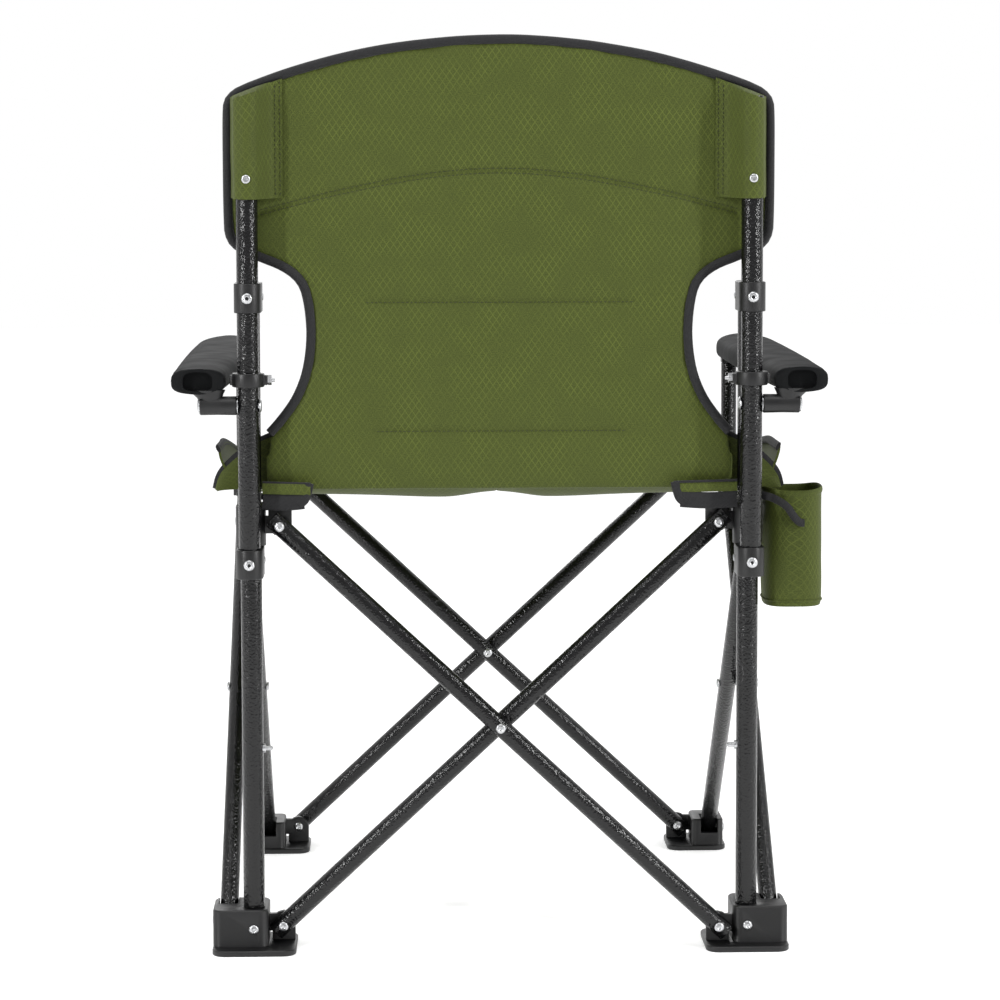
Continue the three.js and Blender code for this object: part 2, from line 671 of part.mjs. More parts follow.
// An open pocket beside the right rear post, hung from the seat's edge.
function cupPocket() {
  const [x0, x1] = POCKET_X;
  const [y0, y1] = POCKET_Y;
  const [z0, z1] = POCKET_Z;
  const wall = POCKET_WALL;
  const outer = raised(roundedRectangle(x0, x1, y0, y1, POCKET_ROUND), z0, z1, 1);
  const inner = raised(
    roundedRectangle(x0 + wall, x1 - wall, y0 + wall, y1 - wall, POCKET_ROUND - wall),
    z0 + wall,
    z1 + 5,
  );
  addPiece("cup_pocket", outer.subtract(inner), "fabric", RIGHT);
}

// ---- the chair ----

crossScissor("rear", REAR_PLANE);
crossScissor("front", FRONT_PLANE);
for (const side of [LEFT, RIGHT]) {
  sideScissor(side);
  rearFoot(side);
  frontFoot(side);
  rearPost(side);
  rearBracket(side);
  frontBracket(side);
  armPostCap(side);
  armrest(side);
  seatHalf(side);
}
backrest();
cupPocket();

export default chair;
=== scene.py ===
"""Folding camp chair: every visible piece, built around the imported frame.

Lengths are in metres. MM turns a size in millimetres to metres. "left" is the sitter's left, at +X.
"""

import json
import math

import bmesh
import bpy
from mathutils import Matrix, Vector, noise


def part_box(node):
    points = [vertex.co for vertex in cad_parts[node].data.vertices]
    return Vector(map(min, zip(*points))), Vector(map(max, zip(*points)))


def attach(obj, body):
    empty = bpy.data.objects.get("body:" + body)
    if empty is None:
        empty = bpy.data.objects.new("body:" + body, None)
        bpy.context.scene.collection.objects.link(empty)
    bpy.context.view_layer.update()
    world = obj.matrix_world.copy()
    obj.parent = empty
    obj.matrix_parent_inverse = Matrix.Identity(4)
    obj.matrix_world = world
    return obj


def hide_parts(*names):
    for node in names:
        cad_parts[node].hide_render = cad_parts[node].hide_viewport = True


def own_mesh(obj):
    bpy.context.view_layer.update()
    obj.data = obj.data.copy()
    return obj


bl_info = {
    "name": "Folding Camp Chair",
    "version": (1, 0, 0),
    "blender": (4, 5, 0),
    "location": "3D View > Sidebar > Camp Chair",
    "description": "Builds a folding camp chair piece by piece around its packed frame",
    "category": "Object",
}

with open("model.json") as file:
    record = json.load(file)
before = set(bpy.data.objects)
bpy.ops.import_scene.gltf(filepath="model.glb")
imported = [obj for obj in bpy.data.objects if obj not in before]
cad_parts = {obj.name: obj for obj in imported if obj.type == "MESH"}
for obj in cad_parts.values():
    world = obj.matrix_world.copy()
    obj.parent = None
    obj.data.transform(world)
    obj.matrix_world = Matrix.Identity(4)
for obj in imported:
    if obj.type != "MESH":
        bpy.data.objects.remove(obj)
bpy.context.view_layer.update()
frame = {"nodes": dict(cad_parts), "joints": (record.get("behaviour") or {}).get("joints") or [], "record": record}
PIVOT = {joint["name"]: Vector(joint["pos_m"]) for joint in frame["joints"]}

MM = 0.001
SIDES = (("left", 1), ("right", -1))
TUBE_SIDES = 40
THREAD_GAP = 1.3 * MM
UP = Vector((0, 0, 1))
SEED = 7


def middle(node):
    """The middle of a CAD node's box."""
    low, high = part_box(node)
    return (low + high) / 2


def size(node):
    """The extents of a CAD node's box."""
    low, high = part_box(node)
    return high - low


# ---------------------------------------------------------------- settings


class CampChairFabric(bpy.types.PropertyGroup):
    """Colours and sewing of the fabric parts."""

    green: bpy.props.StringProperty(
        name="Fabric", description="Colour of the ripstop polyester, as sRGB hex", default="#424B18")
    tape: bpy.props.StringProperty(
        name="Binding", description="Colour of the woven edge binding, as sRGB hex", default="#111113")
    binding_width: bpy.props.FloatProperty(
        name="Binding width", description="Width of the folded binding", default=10 * MM, unit="LENGTH")
    binding_thickness: bpy.props.FloatProperty(
        name="Binding thickness", description="Thickness of the folded binding", default=5 * MM,
        unit="LENGTH")
    lattice_width: bpy.props.FloatProperty(
        name="Lattice width", description="Width of one diamond of the ripstop", default=7.2 * MM,
        unit="LENGTH")
    lattice_height: bpy.props.FloatProperty(
        name="Lattice height", description="Height of one diamond of the ripstop", default=10.3 * MM,
        unit="LENGTH")
    stitch: bpy.props.FloatProperty(
        name="Stitch", description="Length of one stitch of the seams", default=3.2 * MM, unit="LENGTH")


class CampChairFrame(bpy.types.PropertyGroup):
    """Colours and sizes of the frame's parts."""

    steel: bpy.props.StringProperty(
        name="Steel", description="Colour of the hammered powder coat, as sRGB hex", default="#0C0C0D")
    plastic: bpy.props.StringProperty(
        name="Plastic", description="Colour of the feet, collars and brackets, as sRGB hex",
        default="#0D0D0E")
    arm: bpy.props.StringProperty(
        name="Armrest", description="Colour of the moulded armrests, as sRGB hex", default="#0F1011")
    rivet: bpy.props.StringProperty(
        name="Rivets", description="Colour of the plated rivets, as sRGB hex", default="#C9CACC")
    tube_wall: bpy.props.FloatProperty(
        name="Tube wall", description="Wall of the steel tubes", default=1.2 * MM, unit="LENGTH")
    edge: bpy.props.FloatProperty(
        name="Moulded edge", description="Rounding of the moulded plastic edges", default=0.9 * MM,
        unit="LENGTH")


def fabric():
    """The fabric settings."""
    return bpy.context.scene.camp_chair_fabric


def metal():
    """The frame settings."""
    return bpy.context.scene.camp_chair_frame


# --------------------------------------------------------------- materials


def linear(hex_colour):
    """An sRGB hex colour as a linear RGBA tuple."""
    parts = [int(hex_colour[i:i + 2], 16) / 255 for i in (1, 3, 5)]
    return (*[p / 12.92 if p <= 0.04045 else ((p + 0.055) / 1.055) ** 2.4 for p in parts], 1.0)


def shade(colour, share):
    """A linear colour made darker or lighter by that share."""
    return (*[min(1.0, part * share) for part in colour[:3]], 1.0)


def add_node(tree, kind, settings=(), links=()):
    """A node with its properties, input values and incoming links set."""
    made = tree.nodes.new(kind)
    for key, value in dict(settings).items():
        if isinstance(key, str) and hasattr(made, key):
            setattr(made, key, value)
        else:
            made.inputs[key].default_value = value
    for key, source in dict(links).items():
        tree.links.new(source, made.inputs[key])
    return made


def ramp(tree, factor, stops):
    """A colour ramp over factor, with (position, colour) stops."""
    made = add_node(tree, "ShaderNodeValToRGB", links={"Fac": factor})
    elements = made.color_ramp.elements
    while len(elements) < len(stops):
        elements.new(1.0)
    for element, (position, colour) in zip(elements, stops):
        element.position = position
        element.color = colour
    return made.outputs["Color"]


def new_material(name, sockets):
    """A material with one Principled shader, whose own sockets hold the constants."""
    if name in bpy.data.materials:
        return bpy.data.materials[name], None, None
    material = bpy.data.materials.new(name)
    material.use_nodes = True
    tree = material.node_tree
    shader = tree.nodes["Principled BSDF"]
    for key, value in sockets.items():
        shader.inputs[key].default_value = value
    return material, tree, shader


def hammered_steel():
    """Steel tube under a black hammered powder coat: small glossy dimples that break up every highlight."""
    base = linear(metal().steel)
    material, tree, shader = new_material(
        "hammered_powder_coat", {"Roughness": 0.16, "IOR": 1.44})
    if tree:
        place = add_node(tree, "ShaderNodeTexCoord").outputs["Object"]
        dimple_mm = 2.3  # real dimples are about 1.5 mm across; drawn a little coarser so that they show
        dimples = add_node(
            tree, "ShaderNodeTexVoronoi",
            {"feature": "SMOOTH_F1", "Scale": 1 / (dimple_mm * MM), "Smoothness": 0.6}, {"Vector": place})
        grain = add_node(
            tree, "ShaderNodeTexNoise",
            {"Scale": 1 / (3.5 * MM), "Detail": 3.0, "Roughness": 0.6}, {"Vector": place})
        height = add_node(
            tree, "ShaderNodeMath", {"operation": "ADD"},
            {0: dimples.outputs["Distance"], 1: grain.outputs["Fac"]})
        bump = add_node(
            tree, "ShaderNodeBump", {"Strength": 0.8, "Distance": 0.6 * MM},
            {"Height": height.outputs["Value"]})
        tree.links.new(bump.outputs["Normal"], shader.inputs["Normal"])
        colour = ramp(tree, grain.outputs["Fac"], [(0.35, shade(base, 0.45)), (0.75, shade(base, 1.7))])
        tree.links.new(colour, shader.inputs["Base Color"])
    return material


def moulded_plastic(name, hex_colour, roughness, grain_mm, specular=0.5):
    """Injection-moulded plastic with a fine spark-eroded grain, a little worn and dusty in patches."""
    base = linear(hex_colour)
    material, tree, shader = new_material(name, {"IOR": 1.49, "Specular IOR Level": specular})
    if tree:
        place = add_node(tree, "ShaderNodeTexCoord").outputs["Object"]
        grain = add_node(
            tree, "ShaderNodeTexNoise", {"Scale": 1 / (grain_mm * MM), "Detail": 3.0}, {"Vector": place})
        patches = add_node(
            tree, "ShaderNodeTexNoise", {"Scale": 1 / (28 * MM), "Detail": 4.0}, {"Vector": place})
        bump = add_node(
            tree, "ShaderNodeBump", {"Strength": 0.25, "Distance": 0.15 * MM},
            {"Height": grain.outputs["Fac"]})
        tree.links.new(bump.outputs["Normal"], shader.inputs["Normal"])
        colour = ramp(tree, patches.outputs["Fac"], [(0.3, shade(base, 0.85)), (0.7, shade(base, 1.2))])
        tree.links.new(colour, shader.inputs["Base Color"])
        gloss = add_node(
            tree, "ShaderNodeMapRange",
            {"From Min": 0.3, "From Max": 0.7, "To Min": roughness - 0.07, "To Max": roughness + 0.07},
            {"Value": patches.outputs["Fac"]})
        tree.links.new(gloss.outputs["Result"], shader.inputs["Roughness"])
    return material


def black_plastic():
    """Satin black nylon of the feet, collars and brackets."""
    return moulded_plastic("moulded_black_nylon", metal().plastic, 0.42, 0.9)


def arm_plastic():
    """Dark grey polypropylene of the armrests, with a soft even sheen."""
    return moulded_plastic("moulded_grey_polypropylene", metal().arm, 0.75, 1.1, specular=0.12)


def plated_steel():
    """Zinc-plated rivets: bright, slightly uneven metal with faint turning marks."""
    base = linear(metal().rivet)
    material, tree, shader = new_material("zinc_plated_steel", {"Metallic": 1.0})
    if tree:
        place = add_node(tree, "ShaderNodeTexCoord").outputs["Object"]
        marks = add_node(
            tree, "ShaderNodeTexNoise", {"Scale": 1 / (1.4 * MM), "Detail": 4.0}, {"Vector": place})
        colour = ramp(tree, marks.outputs["Fac"], [(0.3, shade(base, 0.75)), (0.7, shade(base, 1.1))])
        tree.links.new(colour, shader.inputs["Base Color"])
        gloss = add_node(
            tree, "ShaderNodeMapRange", {"To Min": 0.18, "To Max": 0.42}, {"Value": marks.outputs["Fac"]})
        tree.links.new(gloss.outputs["Result"], shader.inputs["Roughness"])
    return material


def ripstop():
    """Olive polyester woven with a diagonal diamond ripstop: thin raised threads, a soft satin sheen."""
    base = linear(fabric().green)
    material, tree, shader = new_material("ripstop_polyester", {
        "Roughness": 0.7, "Sheen Weight": 0.05, "Sheen Roughness": 0.45, "Specular IOR Level": 0.25})
    if tree:
        place = add_node(tree, "ShaderNodeUVMap", {"uv_map": "weave"}).outputs["UV"]
        cells = add_node(
            tree, "ShaderNodeMapping",
            {"Scale": (1 / fabric().lattice_width, 1 / fabric().lattice_height, 1)}, {"Vector": place})
        apart = add_node(tree, "ShaderNodeSeparateXYZ", links={"Vector": cells.outputs["Vector"]})
        lines = []
        for operation in ("ADD", "SUBTRACT"):
            run = add_node(
                tree, "ShaderNodeMath", {"operation": operation},
                {0: apart.outputs["X"], 1: apart.outputs["Y"]})
            fold = add_node(
                tree, "ShaderNodeMath", {"operation": "PINGPONG", 1: 0.5}, {0: run.outputs["Value"]})
            lines.append(fold.outputs["Value"])
        nearest = add_node(tree, "ShaderNodeMath", {"operation": "MINIMUM"}, {0: lines[0], 1: lines[1]})
        thread = add_node(
            tree, "ShaderNodeMapRange",
            {"From Min": 0.0, "From Max": 0.13, "To Min": 1.0, "To Max": 0.0,
             "interpolation_type": "SMOOTHSTEP"},
            {"Value": nearest.outputs["Value"]})
        shows = add_node(
            tree, "ShaderNodeTexNoise", {"Scale": 1 / (38 * MM), "Detail": 3.0, "Roughness": 0.6},
            {"Vector": place})
        visible = add_node(
            tree, "ShaderNodeMapRange", {"From Min": 0.35, "From Max": 0.65, "To Min": 0.22, "To Max": 1.0},
            {"Value": shows.outputs["Fac"]})
        mask = add_node(
            tree, "ShaderNodeMath", {"operation": "MULTIPLY"},
            {0: thread.outputs["Result"], 1: visible.outputs["Result"]})
        thread_mm = 1.1  # threads are about 0.3 mm; drawn coarser so that the cloth's grain shows
        yarns = add_node(
            tree, "ShaderNodeTexNoise", {"Scale": 1 / (thread_mm * MM), "Detail": 2.0}, {"Vector": place})
        cloth = ramp(tree, yarns.outputs["Fac"], [(0.3, shade(base, 0.6)), (0.7, shade(base, 1.2))])
        broad = add_node(
            tree, "ShaderNodeMix", {"data_type": "RGBA", "blend_type": "MIX"},
            {"Factor": mask.outputs["Value"], "A": cloth})
        broad.inputs["B"].default_value = shade(base, 1.5)
        tree.links.new(broad.outputs["Result"], shader.inputs["Base Color"])
        height = add_node(
            tree, "ShaderNodeMath", {"operation": "MULTIPLY_ADD", 1: 0.6},
            {0: mask.outputs["Value"], 2: yarns.outputs["Fac"]})
        bump = add_node(
            tree, "ShaderNodeBump", {"Strength": 0.35, "Distance": 0.35 * MM},
            {"Height": height.outputs["Value"]})
        tree.links.new(bump.outputs["Normal"], shader.inputs["Normal"])
    return material


def woven_tape():
    """Black polyester webbing for binding and straps: matt, with fine ribs across it."""
    base = linear(fabric().tape)
    material, tree, shader = new_material(
        "woven_binding_tape", {"Roughness": 0.8, "Sheen Weight": 0.1, "IOR": 1.45})
    if tree:
        place = add_node(tree, "ShaderNodeTexCoord").outputs["Object"]
        ribs = add_node(
            tree, "ShaderNodeTexWave",
            {"bands_direction": "DIAGONAL", "Scale": 1 / (6.0 * MM), "Distortion": 1.5, "Detail": 2.0},
            {"Vector": place})
        fluff = add_node(
            tree, "ShaderNodeTexNoise", {"Scale": 1 / (2.2 * MM), "Detail": 4.0}, {"Vector": place})
        height = add_node(
            tree, "ShaderNodeMath", {"operation": "ADD"}, {0: ribs.outputs["Fac"], 1: fluff.outputs["Fac"]})
        bump = add_node(
            tree, "ShaderNodeBump", {"Strength": 0.4, "Distance": 0.3 * MM},
            {"Height": height.outputs["Value"]})
        tree.links.new(bump.outputs["Normal"], shader.inputs["Normal"])
        colour = ramp(tree, fluff.outputs["Fac"], [(0.3, shade(base, 0.8)), (0.75, shade(base, 1.5))])
        tree.links.new(colour, shader.inputs["Base Color"])
    return material


def sewing_thread():
    """Twisted polyester thread, a shade darker than the cloth, with a slight lustre."""
    base = shade(linear(fabric().green), 0.3)
    material, tree, shader = new_material("sewing_thread", {"Roughness": 0.55, "IOR": 1.45})
    if tree:
        place = add_node(tree, "ShaderNodeTexCoord").outputs["Object"]
        twist = add_node(
            tree, "ShaderNodeTexNoise", {"Scale": 1 / (0.8 * MM), "Detail": 2.0}, {"Vector": place})
        colour = ramp(tree, twist.outputs["Fac"], [(0.3, shade(base, 0.7)), (0.7, shade(base, 1.5))])
        tree.links.new(colour, shader.inputs["Base Color"])
    return material


# ------------------------------------------------------------ mesh helpers


def add_piece(name, bm, material, sharp=35, recalculate=True):
    """The bmesh as a finished object at the origin, smooth except where its faces meet sharply."""
    if recalculate:
        bmesh.ops.recalc_face_normals(bm, faces=bm.faces)
    for face in bm.faces:
        face.smooth = True
    for edge in bm.edges:
        edge.smooth = edge.calc_face_angle(0.0) < math.radians(sharp)
    mesh = bpy.data.meshes.new(name)
    bm.to_mesh(mesh)
    bm.free()
    mesh.materials.append(material)
    piece = bpy.data.objects.new(name, mesh)
    bpy.context.scene.collection.objects.link(piece)
    return piece


def mount(piece, body, slot, *nodes):
    """Lets a finished piece ride on its body and stand for its CAD nodes, which it hides. slot is not used."""
    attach(piece, body)
    if nodes:
        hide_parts(*nodes)
    return piece


def along(start, end):
    """The matrix that lays a shape built on +Z, centred on the origin, between two points."""
    line = end - start
    return Matrix.Translation((start + end) / 2) @ line.to_track_quat("Z", "Y").to_matrix().to_4x4()


def moved(bm, made, matrix):
    """Moves the vertices that an operator made."""
    verts = made["verts"] if isinstance(made, dict) else made
    bmesh.ops.transform(bm, matrix=matrix, verts=verts)
    return verts


def tube(bm, start, end, radius, wall, depth):
    """A steel tube with turned rims and open ends."""
    made = bmesh.ops.create_cone(
        bm, cap_ends=True, segments=TUBE_SIDES, radius1=radius, radius2=radius, depth=(end - start).length)
    verts = list(made["verts"])
    caps = [face for face in {f for v in verts for f in v.link_faces} if len(face.verts) > 4]
    bmesh.ops.inset_individual(bm, faces=caps, thickness=wall)
    for cap in caps:
        inward = -cap.normal * depth
        pushed = bmesh.ops.extrude_discrete_faces(bm, faces=[cap])["faces"]
        bmesh.ops.translate(bm, vec=inward, verts=pushed[0].verts)
    rims = [e for e in bm.edges if e.is_manifold and e.calc_face_angle(0) > 1.2]
    bmesh.ops.bevel(
        bm, geom=rims, offset=wall * 0.35, affect="EDGES", segments=2, profile=0.5, material=-1)
    bmesh.ops.transform(bm, matrix=along(start, end), verts=bm.verts)


def turned(bm, profile, matrix, steps=24):
    """A solid of revolution about +Z from (radius, height) points that start and end on the axis."""
    verts = [bm.verts.new((radius, 0, height)) for radius, height in profile]
    edges = [bm.edges.new(pair) for pair in zip(verts, verts[1:])]
    spun = bmesh.ops.spin(
        bm, geom=verts + edges, cent=(0, 0, 0), axis=(0, 0, 1), angle=math.tau, steps=steps, use_merge=True)
    shape = {v for v in bm.verts if v in verts or v in spun["geom_last"]}
    grown = set(shape)
    while shape:
        shape = {e.other_vert(v) for v in shape for e in v.link_edges} - grown
        grown |= shape
    bmesh.ops.transform(bm, matrix=matrix, verts=list(grown))
    bmesh.ops.remove_doubles(bm, verts=list(grown), dist=1e-6)


def rivet(bm, start, end, head, shank, height):
    """A tubular rivet between two points: two rolled heads with a hollow middle on one shank."""
    half = (end - start).length / 2
    eye = head * 0.3
    cap = [(0, -half + height * 0.7), (eye, -half + height * 0.7), (eye * 1.15, -half + height * 0.15),
           (head * 0.45, -half), (head * 0.75, -half + height * 0.1), (head * 0.95, -half + height * 0.45),
           (head, -half + height * 0.75), (head * 0.95, -half + height), (shank, -half + height)]
    profile = cap + [(radius, -z) for radius, z in reversed(cap)]
    turned(bm, profile, along(start, end))


def block(bm, low, high, edge, segments=3, upright=None):
    """A box with rounded edges. upright rounds its vertical edges more, before the rest."""
    centre, extent = (low + high) / 2, high - low
    made = bmesh.ops.create_cube(bm, size=1.0)
    verts = moved(bm, made, Matrix.Translation(centre) @ Matrix.Diagonal((*extent, 1)))
    if upright:
        sides = [e for e in {e for v in verts for e in v.link_edges}
                 if abs((e.verts[0].co - e.verts[1].co).normalized().z) > 0.9]
        bevelled = bmesh.ops.bevel(
            bm, geom=sides, offset=upright, affect="EDGES", segments=8, profile=0.5, material=-1)
        verts = list(set(bevelled["verts"]) | {v for v in verts if v.is_valid})
    creases = [e for e in {e for v in verts for e in v.link_edges} if e.calc_face_angle(0) > 0.8]
    bmesh.ops.bevel(
        bm, geom=creases, offset=edge, affect="EDGES", segments=segments, profile=0.5, material=-1,
        clamp_overlap=True)


def ring_section(bm, matrix, sides, fill):
    """One round section of a sweep, which the matrix stretches and places."""
    made = bmesh.ops.create_circle(bm, cap_ends=fill, segments=sides, radius=1.0, matrix=matrix)
    return list({e for v in made["verts"] for e in v.link_edges})


def sweep(bm, places, sides=10, closed=False):
    """Joins round sections at the matrices into one solid strip."""
    last = len(places) - 1
    rings = [
        ring_section(bm, place, sides, fill=not closed and index in (0, last))
        for index, place in enumerate(places)]
    pairs = list(zip(rings, rings[1:])) + ([(rings[-1], rings[0])] if closed else [])
    for one, other in pairs:
        bmesh.ops.bridge_loops(bm, edges=one + other)


def strip_places(points, faces, width, thickness, closed=False):
    """Matrices for a flat strip along points, whose broad side faces along faces."""
    places = []
    count = len(points)
    for index, (point, face) in enumerate(zip(points, faces)):
        before = points[(index - 1) % count] if closed else points[max(index - 1, 0)]
        after = points[(index + 1) % count] if closed else points[min(index + 1, count - 1)]
        run = (after - before).normalized()
        across = face.cross(run).normalized()
        out = run.cross(across).normalized()
        turn = Matrix((across * width / 2, out * thickness / 2, run)).transposed().to_4x4()
        places.append(Matrix.Translation(point) @ turn)
    return places


def spline(points, steps, closed=False):
    """A smooth line through the points, with that many steps between each pair."""
    count = len(points)
    result = []
    for index in range(count if closed else count - 1):
        if closed:
            a, b, c, d = (points[(index + k) % count] for k in (-1, 0, 1, 2))
        else:
            a, b, c, d = (points[max(0, min(count - 1, index + k))] for k in (-1, 0, 1, 2))
        for step in range(steps):
            t = step / steps
            result.append(
                0.5 * ((2 * b) + (c - a) * t + (2 * a - 5 * b + 4 * c - d) * t ** 2
                       + (3 * b - a - 3 * c + d) * t ** 3))
    if not closed:
        result.append(points[-1].copy())
    return result


def resample(points, spacing, closed=False):
    """The same line with its points about that far apart."""
    line = points + [points[0]] if closed else points
    lengths = [0.0]
    for one, other in zip(line, line[1:]):
        lengths.append(lengths[-1] + (other - one).length)
    count = max(2, round(lengths[-1] / spacing))
    result, index = [], 0
    for step in range(count if closed else count + 1):
        goal = lengths[-1] * step / count
        while index < len(lengths) - 2 and lengths[index + 1] < goal:
            index += 1
        share = (goal - lengths[index]) / max(lengths[index + 1] - lengths[index], 1e-9)
        result.append(line[index].lerp(line[index + 1], min(1.0, share)))
    return result


def moulded_copy(name, node, material, edge):
    """A CAD moulding with its facets merged and its edges rounded, as a new piece."""
    bm = bmesh.new()
    bm.from_mesh(frame["nodes"][node].data)
    bmesh.ops.remove_doubles(bm, verts=bm.verts, dist=0.02 * MM)
    bmesh.ops.dissolve_limit(
        bm, angle_limit=math.radians(1.5), use_dissolve_boundaries=False, verts=bm.verts, edges=bm.edges)
    creases = [e for e in bm.edges if e.is_manifold and e.calc_face_angle(0) > math.radians(38)]
    bmesh.ops.bevel(
        bm, geom=creases, offset=edge, affect="EDGES", segments=2, profile=0.5, material=-1,
        clamp_overlap=True)
    return add_piece(name, bm, material, sharp=50, recalculate=False)


def stitches(bm, points, faces, length, lift):
    """A row of sewn stitches along a seam line, each a small rounded bar of thread."""
    for start, end, face in zip(points[::2], points[1::2], faces[::2]):
        middle_point = (start + end) / 2 + face * lift
        run = (end - start).normalized()
        across = face.cross(run).normalized()
        out = run.cross(across)
        thread = Matrix((across * 0.42 * MM, out * 0.32 * MM, run * length / 2)).transposed().to_4x4()
        bmesh.ops.create_icosphere(
            bm, subdivisions=1, radius=1.0, matrix=Matrix.Translation(middle_point) @ thread)


# ------------------------------------------------------------------- frame

BAR_ENDS = 11 * MM  # how far a scissor bar runs on past its end rivets
POST_BORE = 14 * MM  # depth shown inside an open tube end
RIVET_SHANK = 3 * MM
RIVET_HEAD = 5.6 * MM
RIVET_RISE = 2.4 * MM


def bar_line(node, low_joint, cross_joint, mirrored=False):
    """The two ends of a scissor bar, whose low pivot and crossing are joints of the frame."""
    low, cross = PIVOT[low_joint].copy(), PIVOT[cross_joint].copy()
    flat = 0 if abs(low.x - cross.x) < abs(low.y - cross.y) else 1
    low[flat] = cross[flat] = middle(node)[flat]
    if mirrored:
        low.x = -low.x
    run = (cross - low).normalized()
    return low - run * BAR_ENDS, cross + (cross - low) + run * BAR_ENDS


class CAMPCHAIR_OT_scissor_bars(bpy.types.Operator):
    """Make the eight scissor bars of the base"""

    bl_idname = "camp_chair.scissor_bars"
    bl_label = "Scissor Bars"

    def execute(self, context):
        bars = [
            ("rear_bar_from_left", "fold", "rear_cross", False),
            ("rear_bar_from_right", "fold", "rear_cross", True),
            ("front_bar_from_left", "front_lower_left_hinge", "front_cross", False),
            ("front_bar_from_right", "front_lower_left_hinge", "front_cross", True),
        ]
        for side, _ in SIDES:
            bars += [
                (f"side_bar_outer_{side}", f"side_outer_{side}_hinge", f"side_cross_{side}", False),
                (f"side_bar_inner_{side}", f"front_foot_{side}_hinge", f"side_cross_{side}", False)]
        for node, low_joint, cross_joint, mirrored in bars:
            extent = size(node)
            bm = bmesh.new()
            start, end = bar_line(node, low_joint, cross_joint, mirrored)
            tube(bm, start, end, min(extent) / 2, metal().tube_wall, POST_BORE)
            mount(add_piece(f"tube_{node}", bm, hammered_steel()), node, "steel_black", node)
        return {"FINISHED"}


SLEEVE_COVER = 8 * MM  # the back tube ends this much lower than the frame's, inside its closed sleeve


class CAMPCHAIR_OT_posts(bpy.types.Operator):
    """Make the rear leg tubes, the back tubes and the posts under the armrests"""

    bl_idname = "camp_chair.posts"
    bl_label = "Posts"

    def execute(self, context):
        for side, _ in SIDES:
            for node, body in (
                    (f"leg_tube_{side}", f"rear_post_{side}"), (f"back_tube_{side}", f"rear_post_{side}"),
                    (f"arm_post_{side}", f"front_bracket_{side}")):
                low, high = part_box(node)
                centre = middle(node)
                top = high.z - (SLEEVE_COVER if node.startswith("back") else 0)
                bm = bmesh.new()
                tube(bm, Vector((centre.x, centre.y, low.z)), Vector((centre.x, centre.y, top)),
                     (high.x - low.x) / 2, metal().tube_wall, POST_BORE)
                mount(add_piece(f"tube_{node}", bm, hammered_steel()), body, "steel_black", node)
        return {"FINISHED"}


class CAMPCHAIR_OT_collars(bpy.types.Operator):
    """Make the double collars that join each leg tube to its back tube"""

    bl_idname = "camp_chair.collars"
    bl_label = "Collars"

    def execute(self, context):
        for side, _ in SIDES:
            rivets = bmesh.new()
            for level in ("lower", "upper"):
                node = f"{level}_collar_{side}"
                low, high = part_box(node)
                bm = bmesh.new()
                block(bm, low, high, metal().edge * 1.2, upright=(high.x - low.x) / 2 - 0.05 * MM)
                mount(add_piece(f"{level}_collar_moulding_{side}", bm, black_plastic()),
                      f"rear_post_{side}", "plastic_black", node)
                centre = middle(node)
                reach = Vector((0, size(node).y / 2 + RIVET_RISE * 0.6, 0))
                rivet(rivets, centre - reach, centre + reach, RIVET_HEAD, RIVET_SHANK, RIVET_RISE)
                cross = Vector((centre.x, low.y + size(node).x / 2, centre.z))
                reach = Vector((size(node).x / 2 + RIVET_RISE * 0.4, 0, 0))
                rivet(rivets, cross - reach, cross + reach, RIVET_HEAD * 0.75, RIVET_SHANK, RIVET_RISE)
            mount(add_piece(f"collar_rivets_{side}", rivets, plated_steel()),
                  f"rear_post_{side}", "rivet_steel")
        return {"FINISHED"}


class CAMPCHAIR_OT_mouldings(bpy.types.Operator):
    """Make the feet, seat brackets and arm post caps"""

    bl_idname = "camp_chair.mouldings"
    bl_label = "Feet and Brackets"

    def execute(self, context):
        for side, _ in SIDES:
            for node, body in (
                    (f"rear_foot_{side}", f"rear_post_{side}"), (f"front_foot_{side}", f"front_foot_{side}"),
                    (f"rear_bracket_{side}", f"rear_bracket_{side}"),
                    (f"front_bracket_{side}", f"front_bracket_{side}"),
                    (f"arm_post_cap_{side}", f"front_bracket_{side}"),
                    (f"arm_clamp_{side}", f"rear_post_{side}")):
                piece = moulded_copy(f"{node}_moulding", node, black_plastic(), metal().edge)
                mount(piece, body, "plastic_black", node)
        return {"FINISHED"}


class CAMPCHAIR_OT_rivets(bpy.types.Operator):
    """Make the rivets and bolts that the bars and arms turn on"""

    bl_idname = "camp_chair.rivets"
    bl_label = "Rivets"

    def execute(self, context):
        for body, members in frame["record"]["behaviour"]["bodies"].items():
            pins = [n for n in members if "pin" in n.split("_") or "rivet" in n.split("_")]
            if not pins:
                continue
            bm = bmesh.new()
            for node in pins:
                low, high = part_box(node)
                extent = high - low
                axis = max(range(3), key=lambda k: extent[k])
                reach = Vector([extent[k] / 2 if k == axis else 0 for k in range(3)])
                centre = middle(node)
                rivet(bm, centre - reach, centre + reach, min(extent) / 2, RIVET_SHANK, RIVET_RISE)
            mount(add_piece(f"rivets_{body}", bm, plated_steel()), body, "rivet_steel", *pins)
        return {"FINISHED"}


# -------------------------------------------------------------------- arms

